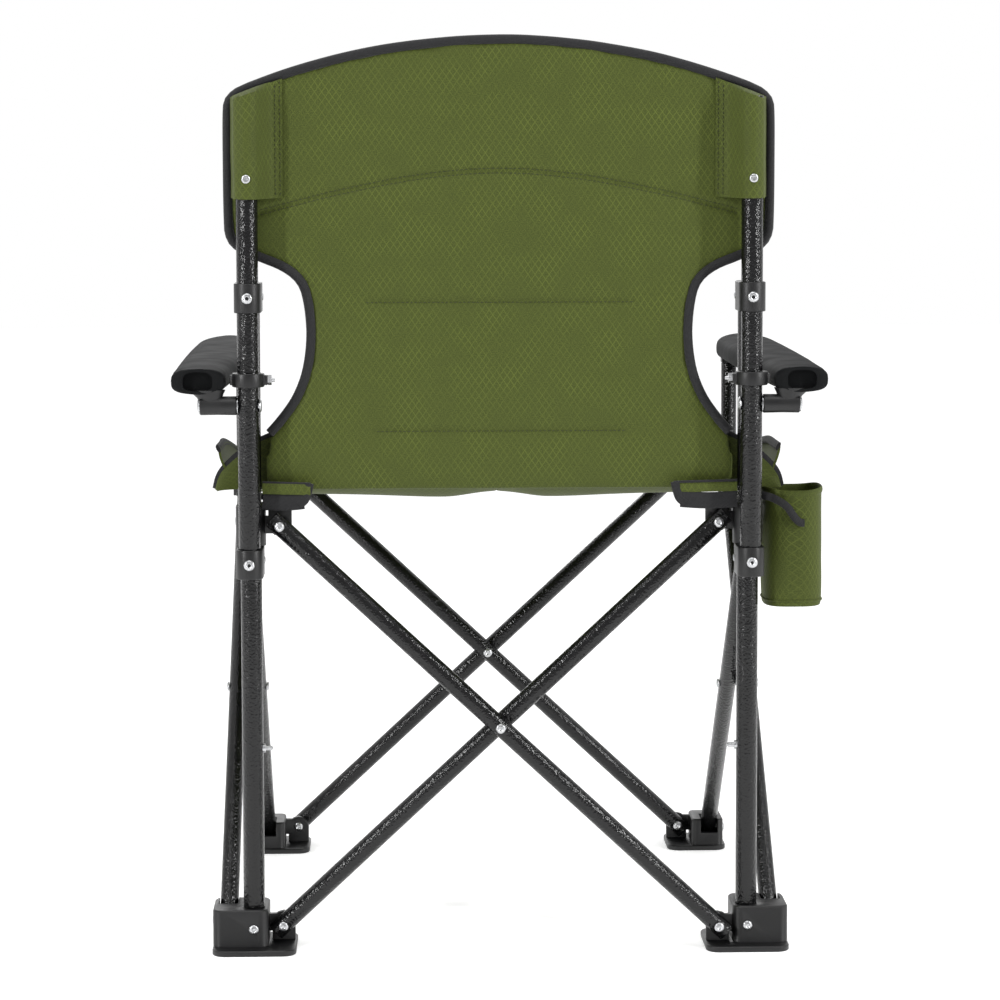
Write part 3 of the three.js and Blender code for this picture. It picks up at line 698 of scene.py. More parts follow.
ARM_STATIONS = 36
ARM_RING = 32
ARM_SKIRT = 14 * MM  # depth of the hollow underneath
ARM_WALL = 2.5 * MM  # thickness of the skirt round it
ARM_STEP = 0.9 * MM  # the raised top plate above the sides
ARM_REAR_HALF = 27.5 * MM  # half-width at the rear
ARM_NOSE_HALF = 1.5 * MM  # least half-width, at the very ends
ARM_INNER_X = 270.5 * MM
ARM_UNDERSIDE = 582 * MM
HOLLOW_ENDS = (22 * MM, 60 * MM)  # solid lengths in front of the hollow and behind it
RECESS_RIM = 3.2 * MM
RECESS_DEPTH = 9 * MM
BARREL_X = (267.7 * MM, 305 * MM)
BARREL_RADIUS = 9.7 * MM
BARREL_CHAMFER = 0.8 * MM
WASHER_X = (266.9 * MM, 305.5 * MM)
WASHER_RADII = (4.2 * MM, 8.6 * MM)
WASHER_HALF = 0.4 * MM  # half its thickness
NECK_X = 294 * MM
NECK_TOP = 585 * MM


def arm_section(low, high, share):
    """Half-width, half-height and squareness of the armrest at a share of its length from the rear."""
    full = (high.x - low.x) / 2
    swell = ARM_REAR_HALF + (full - ARM_REAR_HALF) * math.sin(min(1.0, share / 0.72) * math.pi / 2) ** 1.4
    nose = math.sqrt(max(0.0, 1 - max(0.0, (share - 0.86) / 0.145) ** 2.4))
    tail = math.sqrt(max(0.0, 1 - max(0.0, (0.012 - share) / 0.016) ** 2))
    return swell * nose * tail, nose ** 0.5, 0.78 - 0.28 * min(1.0, share / 0.25)


def arm_shell(bm, low, high, hand):
    """The moulded top of an armrest: crowned, wider to the front, hollow underneath."""
    edges = []
    for index in range(ARM_STATIONS + 1):
        share = 0.5 - 0.5 * math.cos(math.pi * index / ARM_STATIONS)
        half, nose, square = arm_section(low, high, share)
        half = max(half, ARM_NOSE_HALF)
        y = high.y + (low.y - high.y) * share
        lean = (1 - min(1.0, share / 0.6)) ** 1.5 * 1.5 * MM
        x = (low.x + high.x) / 2 + hand * lean
        tall = (high.z - low.z) / 2 * nose
        made = bmesh.ops.create_circle(
            bm, cap_ends=index in (0, ARM_STATIONS), segments=ARM_RING, radius=1.0,
            matrix=Matrix.Rotation(math.pi / 2, 4, "X"))
        verts = made["verts"]
        for v in verts:
            side = math.copysign(abs(v.co.x) ** square, v.co.x)
            rise = math.copysign(abs(v.co.z) ** (0.75 if v.co.z > 0 else 0.55), v.co.z)
            step = ARM_STEP if share > 0.035 and v.co.z > 0.2 else 0
            v.co = (x + side * half, y, high.z - tall + rise * tall - ARM_STEP + step)
        edges.append(list({e for v in verts for e in v.link_edges}))
    for one, other in zip(edges, edges[1:]):
        bmesh.ops.bridge_loops(bm, edges=one + other)
    bmesh.ops.recalc_face_normals(bm, faces=bm.faces)
    front, rear = low.y + HOLLOW_ENDS[0], high.y - HOLLOW_ENDS[1]
    under = [f for f in bm.faces if f.normal.z < -0.93 and front < f.calc_center_median().y < rear]
    bmesh.ops.inset_region(bm, faces=under, thickness=ARM_WALL, use_even_offset=True)
    pushed = bmesh.ops.extrude_face_region(bm, geom=under)
    faces = [g for g in pushed["geom"] if isinstance(g, bmesh.types.BMFace)]
    bmesh.ops.delete(bm, geom=under, context="FACES")
    bmesh.ops.translate(bm, vec=(0, 0, ARM_SKIRT), verts=list({v for f in faces for v in f.verts}))
    tail = max(bm.faces, key=lambda f: f.calc_center_median().y if len(f.verts) > 8 else -9)
    bmesh.ops.inset_individual(bm, faces=[tail], thickness=RECESS_RIM)
    recess = bmesh.ops.extrude_discrete_faces(bm, faces=[tail])["faces"][0]
    bmesh.ops.translate(bm, vec=(0, -RECESS_DEPTH, 0), verts=recess.verts)


class CAMPCHAIR_OT_armrests(bpy.types.Operator):
    """Make the moulded armrests with their necks and barrels"""

    bl_idname = "camp_chair.armrests"
    bl_label = "Armrests"

    def execute(self, context):
        for side, hand in SIDES:
            node = f"armrest_{side}"
            low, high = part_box(node)
            pivot = PIVOT[f"{node}_hinge"]
            bm = bmesh.new()
            arm_shell(bm, Vector((low.x if hand < 0 else ARM_INNER_X, low.y, ARM_UNDERSIDE)),
                      Vector((high.x if hand > 0 else -ARM_INNER_X, high.y, high.z)), hand)
            piece = add_piece(f"armrest_moulding_{side}", bm, arm_plastic(), sharp=42)
            mount(piece, f"armrest_{side}", "plastic_arm", node)
            barrel = bmesh.new()
            self.barrel(barrel, hand, pivot)
            self.neck(barrel, hand, pivot)
            mount(add_piece(f"armrest_barrel_{side}", barrel, black_plastic(), sharp=42),
                  f"armrest_{side}", "plastic_arm")
            self.fittings(side, hand, pivot)
        return {"FINISHED"}

    def barrel(self, bm, hand, pivot):
        """The barrel that turns on the pivot bolt, slightly waisted."""
        inner, outer = BARREL_X
        reach = Vector((hand * (outer - inner) / 2, 0, 0))
        centre = Vector((hand * (inner + outer) / 2, pivot.y, pivot.z))
        half, rim = reach.length, BARREL_RADIUS - BARREL_CHAMFER
        profile = [(0, -half), (rim, -half), (BARREL_RADIUS, BARREL_CHAMFER - half),
                   (BARREL_RADIUS * 0.97, 0), (BARREL_RADIUS, half - BARREL_CHAMFER),
                   (rim, half), (0, half)]
        turned(bm, profile, along(centre - reach, centre + reach), steps=32)

    def neck(self, bm, hand, pivot):
        """The neck from the barrel up into the armrest, which it widens towards."""
        places = []
        for share in (0.0, 0.25, 0.5, 0.75, 1.0):
            wide = (11 + 9 * share ** 2.2) * MM
            deep = (8 + 5 * share) * MM
            x = hand * (NECK_X + 5 * MM * share ** 2)
            z = pivot.z + (NECK_TOP - pivot.z) * share
            places.append(
                Matrix.Translation((x, pivot.y - 1 * MM, z)) @ Matrix.Diagonal((wide, deep, 1, 1)))
        sweep(bm, places, sides=24)

    def fittings(self, side, hand, pivot):
        """The pivot bolt with its washers, and the clamp's nut with the tip of its bolt."""
        bm = bmesh.new()
        node = f"arm_pivot_bolt_{side}"
        low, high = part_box(node)
        centre = middle(node)
        reach = Vector(((high.x - low.x) / 2, 0, 0))
        rivet(bm, centre - reach, centre + reach, (high.z - low.z) / 2, 4 * MM, RIVET_RISE)
        post = middle(f"back_tube_{side}")
        bore, rim = WASHER_RADII
        section = [(bore, -WASHER_HALF), (rim, -WASHER_HALF), (rim, WASHER_HALF), (bore, WASHER_HALF),
                   (bore, -WASHER_HALF)]
        for x in WASHER_X:
            washer = Vector((hand * x, pivot.y, pivot.z))
            thin = Vector((WASHER_HALF, 0, 0))
            turned(bm, section, along(washer - thin, washer + thin))
        clamp = middle(f"arm_clamp_{side}")
        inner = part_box(f"arm_clamp_{side}")[0 if hand > 0 else 1].x
        nut = Vector((inner - hand * 1.9 * MM, post.y, clamp.z))
        made = bmesh.ops.create_cone(
            bm, cap_ends=True, segments=6, radius1=5.2 * MM, radius2=5.2 * MM, depth=3.8 * MM)
        reach = Vector((hand * MM, 0, 0))
        moved(bm, made, along(nut - reach, nut + reach))
        tip = nut - reach * 3.2
        made = bmesh.ops.create_cone(
            bm, cap_ends=True, segments=20, radius1=2.5 * MM, radius2=1.8 * MM, depth=4 * MM)
        moved(bm, made, along(tip + reach, tip - reach))
        mount(add_piece(f"arm_bolts_{side}", bm, plated_steel()), f"rear_post_{side}", "rivet_steel", node)


LEG_BOLT_HEIGHT = 211 * MM


class CAMPCHAIR_OT_leg_bolts(bpy.types.Operator):
    """Make the small cross bolts that stand out of the leg tubes"""

    bl_idname = "camp_chair.leg_bolts"
    bl_label = "Leg Bolts"

    def execute(self, context):
        for side, hand in SIDES:
            leg = middle(f"leg_tube_{side}")
            radius = size(f"leg_tube_{side}").x / 2
            at = Vector((leg.x - hand * (radius + 4.5 * MM), leg.y, LEG_BOLT_HEIGHT))
            reach = Vector((hand * 5 * MM, 0, 0))
            bm = bmesh.new()
            turned(bm, [(0, -5.5 * MM), (4.4 * MM, -5.5 * MM), (4.6 * MM, -4.6 * MM), (4.6 * MM, -2.4 * MM),
                        (2.4 * MM, -2.2 * MM), (2.4 * MM, 3.8 * MM), (1.2 * MM, 5.4 * MM), (0, 5.8 * MM)],
                   along(at + reach, at - reach))
            mount(add_piece(f"leg_bolt_{side}", bm, plated_steel()), f"rear_post_{side}", "rivet_steel")
        return {"FINISHED"}


# ------------------------------------------------------------------ fabric

PAD_VOXEL = 5 * MM
PAD_PRESSURE = 4.0
PAD_FRAMES = 20


def weave_map(piece, across, upright):
    """Gives a piece the "weave" UV map, in metres along two directions of its plane."""
    mesh = piece.data
    layer = mesh.uv_layers.get("weave") or mesh.uv_layers.new(name="weave")
    for loop in mesh.loops:
        place = mesh.vertices[loop.vertex_index].co
        layer.data[loop.index].uv = (place.dot(across), place.dot(upright))


def evaluated_mesh(piece):
    """The piece's mesh with its modifiers applied."""
    bpy.context.view_layer.update()
    depsgraph = bpy.context.evaluated_depsgraph_get()
    return bpy.data.meshes.new_from_object(piece.evaluated_get(depsgraph))


def bake_modifiers(piece):
    """Applies every modifier of a piece."""
    mesh = evaluated_mesh(piece)
    piece.modifiers.clear()
    piece.data = mesh


def pad(name, outline, normal, thickness, held, limit, material):
    """A stuffed pad: a thin sewn shell over the outline, filled by cloth simulation and smoothed.

    held(point) is True where the shell is sewn down, and no point moves further than limit.
    """
    bm = bmesh.new()
    face = bm.faces.new([bm.verts.new(p - normal * thickness / 2) for p in outline])
    grown = bmesh.ops.extrude_face_region(bm, geom=[face])["geom"]
    bmesh.ops.translate(
        bm, vec=normal * thickness, verts=[g for g in grown if isinstance(g, bmesh.types.BMVert)])
    piece = add_piece(name, bm, material)
    voxels = piece.modifiers.new("voxels", "REMESH")
    voxels.mode = "VOXEL"
    voxels.voxel_size = PAD_VOXEL
    bake_modifiers(piece)
    before = [v.co.copy() for v in piece.data.vertices]
    sewn = piece.vertex_groups.new(name="sewn")
    sewn.add([v.index for v in piece.data.vertices if held(v.co)], 1.0, "REPLACE")
    cloth = piece.modifiers.new("filling", "CLOTH")
    cloth.settings.quality = 4
    cloth.settings.mass = 0.25
    cloth.settings.tension_stiffness = cloth.settings.compression_stiffness = 12
    cloth.settings.bending_stiffness = 2.0
    cloth.settings.use_pressure = True
    cloth.settings.uniform_pressure_force = PAD_PRESSURE
    cloth.settings.vertex_group_mass = "sewn"
    cloth.settings.effector_weights.gravity = 0
    cloth.point_cache.frame_start, cloth.point_cache.frame_end = 1, PAD_FRAMES
    for step in range(1, PAD_FRAMES + 1):
        bpy.context.scene.frame_set(step)
    bake_modifiers(piece)
    bpy.context.scene.frame_set(1)
    for vertex, start in zip(piece.data.vertices, before):
        shift = vertex.co - start
        if shift.length > limit:
            vertex.co = start + shift * (limit / shift.length)
    relax = piece.modifiers.new("relax", "SMOOTH")
    relax.factor, relax.iterations = 0.5, 6
    finer = piece.modifiers.new("finer", "SUBSURF")
    finer.levels = finer.render_levels = 1
    bake_modifiers(piece)
    piece.data.shade_smooth()
    if not piece.data.materials:
        piece.data.materials.append(material)
    return piece


def mirrored(points):
    """The points of one half, then its mirror image in X, back to front."""
    return points + [Vector((-p.x, p.y, p.z)) for p in reversed(points)]


def distance_to(line, x, z):
    """How far (x, z) is from a line of points, and how far along it the nearest one is."""
    nearest, at, run = 1e9, 0.0, 0.0
    for one, other in zip(line, line[1:]):
        dx, dz = other.x - one.x, other.z - one.z
        length = math.hypot(dx, dz)
        t = max(0.0, min(1.0, ((x - one.x) * dx + (z - one.z) * dz) / max(length * length, 1e-12)))
        away = math.hypot(x - one.x - t * dx, z - one.z - t * dz)
        if away < nearest:
            nearest, at = away, run + t * length
        run += length
    return nearest, at


BACK_LOW, BACK_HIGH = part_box("backrest")
BACK_HALF = BACK_HIGH.x
BACK_PEAK = BACK_HIGH.z
BACK_TOP_RADIUS = 705 * MM
BACK_MIDDLE_Y = (BACK_LOW.y + BACK_HIGH.y) / 2
BACK_BOTTOM = 478 * MM
BACK_HIP = 238 * MM
HIP_TOP = 541 * MM
SLEEVE_BOTTOM = 779 * MM
SLEEVE_INNER = 220 * MM
QUILTING = ((672 * MM, 136 * MM), (540 * MM, 128 * MM))  # height and half-width of each quilting line
TOP_PUCKERS = 840 * MM  # the cloth puckers under the top binding from here up
YOKE_HALF = 262 * MM
EDGE_SEWN = 4 * MM  # the padding's edge inside the binding's
TAPE_INSET = 3.5 * MM
TAPE_FOLD = 2.4  # the binding's thickness round the padding, against the folded tape's own
SLEEVE_SEAM = 4 * MM


def back_top(x):
    """Height of the backrest's top edge at x."""
    return BACK_PEAK - BACK_TOP_RADIUS + math.sqrt(BACK_TOP_RADIUS ** 2 - x * x)


def back_edge():
    """The bound edge of the backrest, from one hip up over the shoulders to the other."""
    armhole = [(BACK_HIP, HIP_TOP), (225 * MM, 556 * MM), (210 * MM, 578 * MM), (200 * MM, 605 * MM),
               (196 * MM, 640 * MM), (199 * MM, 674 * MM), (206 * MM, 693 * MM), (222 * MM, 706 * MM),
               (246 * MM, 716 * MM), (268 * MM, 727 * MM), (277 * MM, 739 * MM), (BACK_HALF, 756 * MM),
               (BACK_HALF + 0.5 * MM, 815 * MM), (BACK_HALF, 868 * MM), (276 * MM, 880 * MM),
               (268 * MM, back_top(268 * MM) - 1 * MM)]
    half = spline([Vector((x, 0, z)) for x, z in armhole], 5)
    half += [Vector((x * MM, 0, back_top(x * MM))) for x in range(255, -1, -15)]
    return resample(mirrored(half), 7 * MM)


def drawn_in(points, distance):
    """A line that runs up the left side and over to the right, moved in from the edge by distance."""
    result = []
    for index, point in enumerate(points):
        run = points[min(index + 1, len(points) - 1)] - points[max(index - 1, 0)]
        aside = Vector((run.z, 0, -run.x)).normalized()
        result.append(point - aside * distance)
    return result


def yoke_line():
    """The curved double seam across the backrest's shoulders."""
    side = [Vector((x * MM, 0, z * MM)) for x, z in ((262, 759), (225, 769), (160, 785), (80, 800))]
    both = mirrored(side)
    return spline(side + [Vector((0, 0, 806 * MM))] + both[len(side):], 8)


def back_lean(x, z):
    """How far the panel stands behind its mid-plane: fuller across the middle, tucked in at the foot."""
    up = (z - BACK_BOTTOM) / (BACK_PEAK - BACK_BOTTOM)
    full = 1.5 * MM * math.cos(min(1.0, abs(x) / BACK_HALF) * math.pi / 2)
    tucked = 6 * MM * max(0.0, 1 - (z - BACK_BOTTOM) / (48 * MM)) ** 2
    return (3.0 * up - 3.0) * MM + full - tucked


def sew_back(piece, seam):
    """Pulls the seams into the filled backrest and puckers the cloth beside them."""
    for vertex in piece.data.vertices:
        x, y, z = vertex.co
        outward = 1 if y > BACK_MIDDLE_Y else -1
        away, at = distance_to(seam, x, z)
        sink = 2.6 * MM * math.exp(-(away / (3.4 * MM)) ** 2) if abs(x) < YOKE_HALF else 0.0
        ripple = math.sin(at / (4.6 * MM) + 3.0 * noise.noise(Vector((at * 22, outward, 0))))
        sink += 0.55 * MM * ripple * math.exp(-away / (11 * MM)) * (1 if abs(x) < 225 * MM else 0)
        for level, half in QUILTING:
            ends = min(1.0, max(0.0, (half + 14 * MM - abs(x)) / (28 * MM)))
            drop = abs(z - level)
            pull = math.exp(-(drop / (3.0 * MM)) ** 2) + 0.55 * math.exp(-(drop / (13 * MM)) ** 2)
            sink += 2.3 * MM * ends * pull
            pucker = math.sin(x / (5.2 * MM) + 2.5 * noise.noise(Vector((x * 25, level * 9, outward))))
            sink += 0.3 * MM * ends * pucker * math.exp(-drop / (8 * MM))
        if z > TOP_PUCKERS:
            rim = back_top(x) - z
            fold = math.sin(x / (9.5 * MM) + 3.2 * noise.noise(Vector((x * 14, 3, outward))))
            sink += 1.1 * MM * fold * math.exp(-rim / (15 * MM))
        slack = noise.noise(Vector((x * 9, z * 7, outward * 3 + SEED)))
        sink -= 1.3 * MM * slack
        vertex.co.y = y - outward * sink + back_lean(x, z)


class CAMPCHAIR_OT_backrest(bpy.types.Operator):
    """Make the padded backrest with its binding, seams and quilting"""

    bl_idname = "camp_chair.backrest"
    bl_label = "Backrest"

    def execute(self, context):
        edge, seam = back_edge(), yoke_line()
        inner = drawn_in(edge, EDGE_SEWN)
        corner = [Vector((BACK_HIP, 0, HIP_TOP - 12 * MM)), Vector((BACK_HIP + 3 * MM, 0, 510 * MM)),
                  Vector((BACK_HIP + 2 * MM, 0, 487 * MM)), Vector((BACK_HIP - 4 * MM, 0, BACK_BOTTOM))]
        foot = corner + [Vector((x * MM, 0, BACK_BOTTOM)) for x in range(220, 0, -20)]
        outline = inner + [Vector((-p.x, 0, p.z)) for p in foot] + list(reversed(foot))
        outline = [p + Vector((0, BACK_MIDDLE_Y, 0)) for p in outline]
        fine_edge = inner[::3]

        def held(point):
            near_seam = distance_to(seam, point.x, point.z)[0] < 4 * MM
            quilted = any(abs(point.z - level) < 3.5 * MM and abs(point.x) < half for level, half in QUILTING)
            shoulder = abs(point.x) > SLEEVE_INNER - SLEEVE_SEAM and point.z > 700 * MM
            return (near_seam or quilted or shoulder or point.z < BACK_BOTTOM + 7 * MM
                    or distance_to(fine_edge, point.x, point.z)[0] < 9 * MM)

        panel = pad("backrest_panel", outline, Vector((0, 1, 0)), 7 * MM, held, 11 * MM, ripstop())
        sew_back(panel, seam)
        weave_map(panel, Vector((1, 0, 0)), UP)
        bm = bmesh.new()
        tape = [
            Vector((p.x, BACK_MIDDLE_Y + back_lean(p.x, p.z) + 0.4 * MM * noise.noise(p * 30),
                    p.z + 0.5 * MM * noise.noise(p * 22)))
            for p in drawn_in(edge, TAPE_INSET)]
        backward = [Vector((0, 1, 0))] * len(tape)
        thickness = fabric().binding_thickness * TAPE_FOLD
        sweep(bm, strip_places(tape, backward, fabric().binding_width, thickness), 12)
        for vertex in bm.verts:
            lean = BACK_MIDDLE_Y + back_lean(vertex.co.x, vertex.co.z)
            vertex.co.y = lean + (vertex.co.y - lean) * 0.95
        binding = add_piece("backrest_binding", bm, woven_tape(), sharp=60)
        threads = bmesh.new()
        stitch = fabric().stitch
        for offset in (-2.4 * MM, 2.4 * MM):
            row = [p + Vector((0, 0, offset)) for p in seam if abs(p.x) < 246 * MM]
            self.sew(threads, panel, resample(row, (stitch + THREAD_GAP) / 2), stitch)
        for level, half in QUILTING:
            row = [Vector((-half, 0, level)), Vector((half, 0, level))]
            self.sew(threads, panel, resample(row, (stitch + THREAD_GAP) / 2), stitch)
        sewing = add_piece("backrest_stitches", threads, sewing_thread(), recalculate=False)
        mount(panel, "rear_post_left", "fabric_green", "backrest")
        mount(binding, "rear_post_left", "binding_black")
        mount(sewing, "rear_post_left", "fabric_green")
        left_post = middle("back_tube_left").x
        for piece in (panel, binding, sewing):
            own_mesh(piece)
        return {"FINISHED"}

    def sew(self, bm, panel, row, stitch):
        """One row of stitches on both faces of the panel."""
        panel.data.update()
        bpy.context.view_layer.update()
        for outward in (1, -1):
            points = []
            for point in row:
                start = Vector((point.x, BACK_MIDDLE_Y + outward * 60 * MM, point.z))
                hit, place, _, _ = panel.ray_cast(start, Vector((0, -outward, 0)))
                points.append(place if hit else Vector((point.x, BACK_MIDDLE_Y, point.z)))
            stitches(bm, points, [Vector((0, outward, 0))] * len(points), stitch, 0.5 * MM)


def grid_sheet(name, columns, rows, place, flat, thickness, material, close=False):
    """A sheet of cloth: a grid laid out flat, given its weave, then moved to place(u, v) and thickened."""
    bm = bmesh.new()
    bmesh.ops.create_grid(bm, x_segments=columns, y_segments=rows, size=0.5)
    layer = bm.loops.layers.uv.new("weave")
    for face in bm.faces:
        for loop in face.loops:
            co = loop.vert.co
            loop[layer].uv = ((co.x + 0.5) * flat[0], (co.y + 0.5) * flat[1])
    for vertex in bm.verts:
        vertex.co = place(vertex.co.x + 0.5, vertex.co.y + 0.5)
    if close:
        bmesh.ops.remove_doubles(bm, verts=bm.verts, dist=0.05 * MM)
    bmesh.ops.recalc_face_normals(bm, faces=bm.faces)
    bmesh.ops.solidify(bm, geom=bm.faces, thickness=thickness)
    return add_piece(name, bm, material, sharp=55, recalculate=False)


# Cut sizes of the unpadded fabric, worked out from the pattern and not from the finished mesh.
SLEEVE_CUT = (88 * MM, 113 * MM)  # 14 lap, 17 each way to the tube, 40 half round it; mean height
HIP_WING_CUT = (61 * MM, 76 * MM)  # rise from the seat to the armhole; 71 sideways and 26 forwards
SIDE_WING_CUT = (58 * MM, 330 * MM)  # 48 up and 26 out, along the seat's side
POCKET_CUT = (223 * MM, 140 * MM)  # rounded outline's length; 122 of wall and 18 that the base comes to


class CAMPCHAIR_OT_post_sleeves(bpy.types.Operator):
    """Make the fabric sleeves that hold the backrest on its posts"""

    bl_idname = "camp_chair.post_sleeves"
    bl_label = "Post Sleeves"

    def execute(self, context):
        for side, hand in SIDES:
            post = middle(f"back_tube_{side}")
            radius = size(f"back_tube_{side}").x / 2 + 1.6 * MM
            front = BACK_MIDDLE_Y + 5.2 * MM
            wrap = [Vector((SLEEVE_INNER, front, 0)), Vector((226 * MM, front + 0.8 * MM, 0)),
                    Vector((234 * MM, front + 5 * MM, 0))]
            for turn in range(150, -21, -15):
                angle = math.radians(turn)
                wrap.append(Vector((abs(post.x) + radius * math.cos(angle),
                                    post.y + radius * math.sin(angle), 0)))
            wrap.append(Vector((271.5 * MM, front + 0.5 * MM, 0)))
            wrap = resample(spline(wrap, 4), 2 * MM)

            def place(u, v, wrap=wrap, hand=hand, post=post, front=front):
                at = wrap[min(len(wrap) - 1, round(u * (len(wrap) - 1)))]
                top = back_top(at.x) - 7.5 * MM
                sag = 2.5 * MM * math.sin(u * math.pi)
                z = SLEEVE_BOTTOM - sag * 0.6 + v * (top - SLEEVE_BOTTOM + sag * 0.6)
                closing = max(0.0, 1 - (top - z) / (5 * MM)) ** 2
                loose = 0.9 * MM * noise.noise(Vector((at.x * 40, z * 22, hand * 5.0 + SEED)))
                y = at.y + (front + 2 * MM - at.y) * closing * 0.8 + loose * math.sin(u * math.pi)
                return Vector((hand * (at.x + 0.6 * loose), y, z))

            sleeve = grid_sheet(
                f"post_sleeve_{side}", len(wrap) - 1, 46, place, SLEEVE_CUT, 1.1 * MM, ripstop())
            threads = bmesh.new()
            spacing = (fabric().stitch + THREAD_GAP) / 2
            for x in (222.5 * MM, 227.5 * MM):
                top = back_top(x) - 10 * MM
                foot = Vector((hand * x, 0, SLEEVE_BOTTOM + 3 * MM))
                row = resample([foot, Vector((hand * x, 0, top))], spacing)
                points = []
                for point in row:
                    hit, at, _, _ = sleeve.ray_cast(
                        Vector((point.x, post.y + 60 * MM, point.z)), Vector((0, -1, 0)))
                    points.append(at if hit else Vector((point.x, front, point.z)))
                stitches(threads, points, [Vector((0, 1, 0))] * len(points), fabric().stitch, 0.4 * MM)
            sewing = add_piece(f"sleeve_stitches_{side}", threads, sewing_thread(), recalculate=False)
            rivets = bmesh.new()
            at = Vector((post.x, post.y + radius + 0.9 * MM, 798 * MM))
            reach = Vector((0, 1.3 * MM, 0))
            rivet(rivets, at - reach, at + reach, 4.4 * MM, 2.4 * MM, 1.2 * MM)
            body = f"rear_post_{side}"
            mount(sleeve, body, "fabric_green")
            mount(sewing, body, "fabric_green")
            mount(add_piece(f"sleeve_rivet_{side}", rivets, plated_steel()), body, "rivet_steel")
        return {"FINISHED"}


SEAT_SAG = 7 * MM
SAG_REACH = 270 * MM  # from the seat's middle to where it hangs level, forwards and back
SEAT_LIFT = 28 * MM  # the rear edge, where it is sewn up to the backrest
LIFT_START = 130 * MM
LIFT_HALF = 262 * MM
LIFT_SLOPE = 30 * MM
SEAT_CORNER = 16 * MM
FOLD_CREASE = 55 * MM  # the padding thins towards the middle seam, where the seat folds
SEAT_CHANNELS = (-95 * MM, 70 * MM)  # the seat's cross seams, along Y


class CAMPCHAIR_OT_seat(bpy.types.Operator):
    """Make the two padded halves of the seat with their binding"""

    bl_idname = "camp_chair.seat"
    bl_label = "Seat"

    def execute(self, context):
        low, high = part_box("seat_left")
        level = (low.z + high.z) / 2
        corners = [Vector((high.x, low.y, 0)), Vector((high.x, high.y, 0))]
        inner = -0.8 * MM

        def lift(x, y):
            """The rear edge rises between the posts, where it is sewn to the backrest."""
            rise = max(0.0, min(1.0, (y - LIFT_START) / (high.y - LIFT_START)))
            across = max(0.0, min(1.0, (LIFT_HALF - abs(x)) / LIFT_SLOPE))
            return SEAT_LIFT * rise * rise * (3 - 2 * rise) * across

        def sag(x, y):
            """How far the seat hangs down between its side edges."""
            return SEAT_SAG * (1 - (x / high.x) ** 2) * math.cos(y / SAG_REACH * math.pi / 2) ** 0.5

        outline = [Vector((inner, low.y, level))]
        for corner, start in ((corners[0], -90), (corners[1], 0)):
            centre = corner + Vector((-SEAT_CORNER, SEAT_CORNER if start < 0 else -SEAT_CORNER, 0))
            for turn in range(start, start + 91, 15):
                angle = math.radians(turn)
                outline.append(Vector((centre.x + SEAT_CORNER * math.cos(angle),
                                       centre.y + SEAT_CORNER * math.sin(angle), level)))
        outline.append(Vector((inner, high.y, level)))

        def held(point):
            rim = min(high.x - point.x, point.y - low.y, high.y - point.y)
            sewn = any(abs(point.y - seam) < 3.5 * MM for seam in SEAT_CHANNELS)
            return rim < 6 * MM or point.x < 4 * MM or sewn

        def shaped(piece, hand):
            for vertex in piece.data.vertices:
                x, y, z = vertex.co
                x = max(inner, x)
                outward = 1 if z > level else -1
                dip = sag(x, y) if abs(y) < SAG_REACH else 0.0
                sink = 0.0
                for seam in SEAT_CHANNELS:
                    away = abs(y - seam)
                    pull = math.exp(-(away / (3 * MM)) ** 2) + 0.5 * math.exp(-(away / (14 * MM)) ** 2)
                    sink += 2.0 * MM * pull
                    pucker = math.sin(x / (5.2 * MM) + 2.5 * noise.noise(Vector((x * 25, seam * 9, outward))))
                    sink += 0.35 * MM * pucker * math.exp(-away / (9 * MM))
                sink -= 1.2 * MM * noise.noise(Vector((x * 9, y * 8, outward * 3 + SEED)))
                crease = max(0.0, min(1.0, x / FOLD_CREASE))
                rise = lift(x, y)
                thin = (1 - 0.65 * rise / SEAT_LIFT) * (0.3 + 0.7 * crease * crease * (3 - 2 * crease))
                vertex.co = Vector((hand * x, y, level + (z - level - outward * sink) * thin - dip + rise))

        for side, hand in SIDES:
            half = pad(f"seat_pad_{side}", outline, UP, 8 * MM, held, 9 * MM, ripstop())
            shaped(half, hand)
            if hand < 0:
                half.data.flip_normals()
            weave_map(half, Vector((1, 0, 0)), Vector((0, 1, 0)))
            half.data.update()
            context.view_layer.update()
            bm = bmesh.new()
            run = []
            for point in resample(outline, 8 * MM):
                if point.y > high.y - 2 * MM and point.x < 236 * MM:
                    continue
                dip = sag(min(point.x, high.x), min(SAG_REACH - 1 * MM, abs(point.y)))
                run.append(Vector((hand * max(point.x, 1.5 * MM), point.y, level - dip)))
            sweep(bm, strip_places(run, [UP] * len(run), fabric().binding_width, 7 * MM), 10)
            binding = add_piece(f"seat_binding_{side}", bm, woven_tape(), sharp=60)
            threads = bmesh.new()
            for seam in SEAT_CHANNELS:
                ends = [Vector((hand * 6 * MM, seam, 0)), Vector((hand * (high.x - 9 * MM), seam, 0))]
                row = resample(ends, (fabric().stitch + THREAD_GAP) / 2)
                points = []
                for point in row:
                    hit, at, _, _ = half.ray_cast(point + Vector((0, 0, level + 60 * MM)), -UP)
                    points.append(at if hit else point + Vector((0, 0, level)))
                stitches(threads, points, [UP] * len(points), fabric().stitch, 0.5 * MM)
            sewing = add_piece(f"seat_stitches_{side}", threads, sewing_thread(), recalculate=False)
            mount(half, f"seat_{side}", "fabric_green", f"seat_{side}")
            mount(binding, f"seat_{side}", "binding_black")
            mount(sewing, f"seat_{side}", "fabric_green")
            for piece in (half, binding, sewing):
                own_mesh(piece)
        return {"FINISHED"}


WING_FOOT = 472 * MM  # height of the side wing's sewn edge
WING_REAR = 232 * MM
WING_RISE = 48 * MM
WING_SPREAD = 26 * MM
TAB_TOP = 489  # millimetres
TAB_SHOWS = 11
POST_END = 243 * MM  # where a tab starts, beside its post


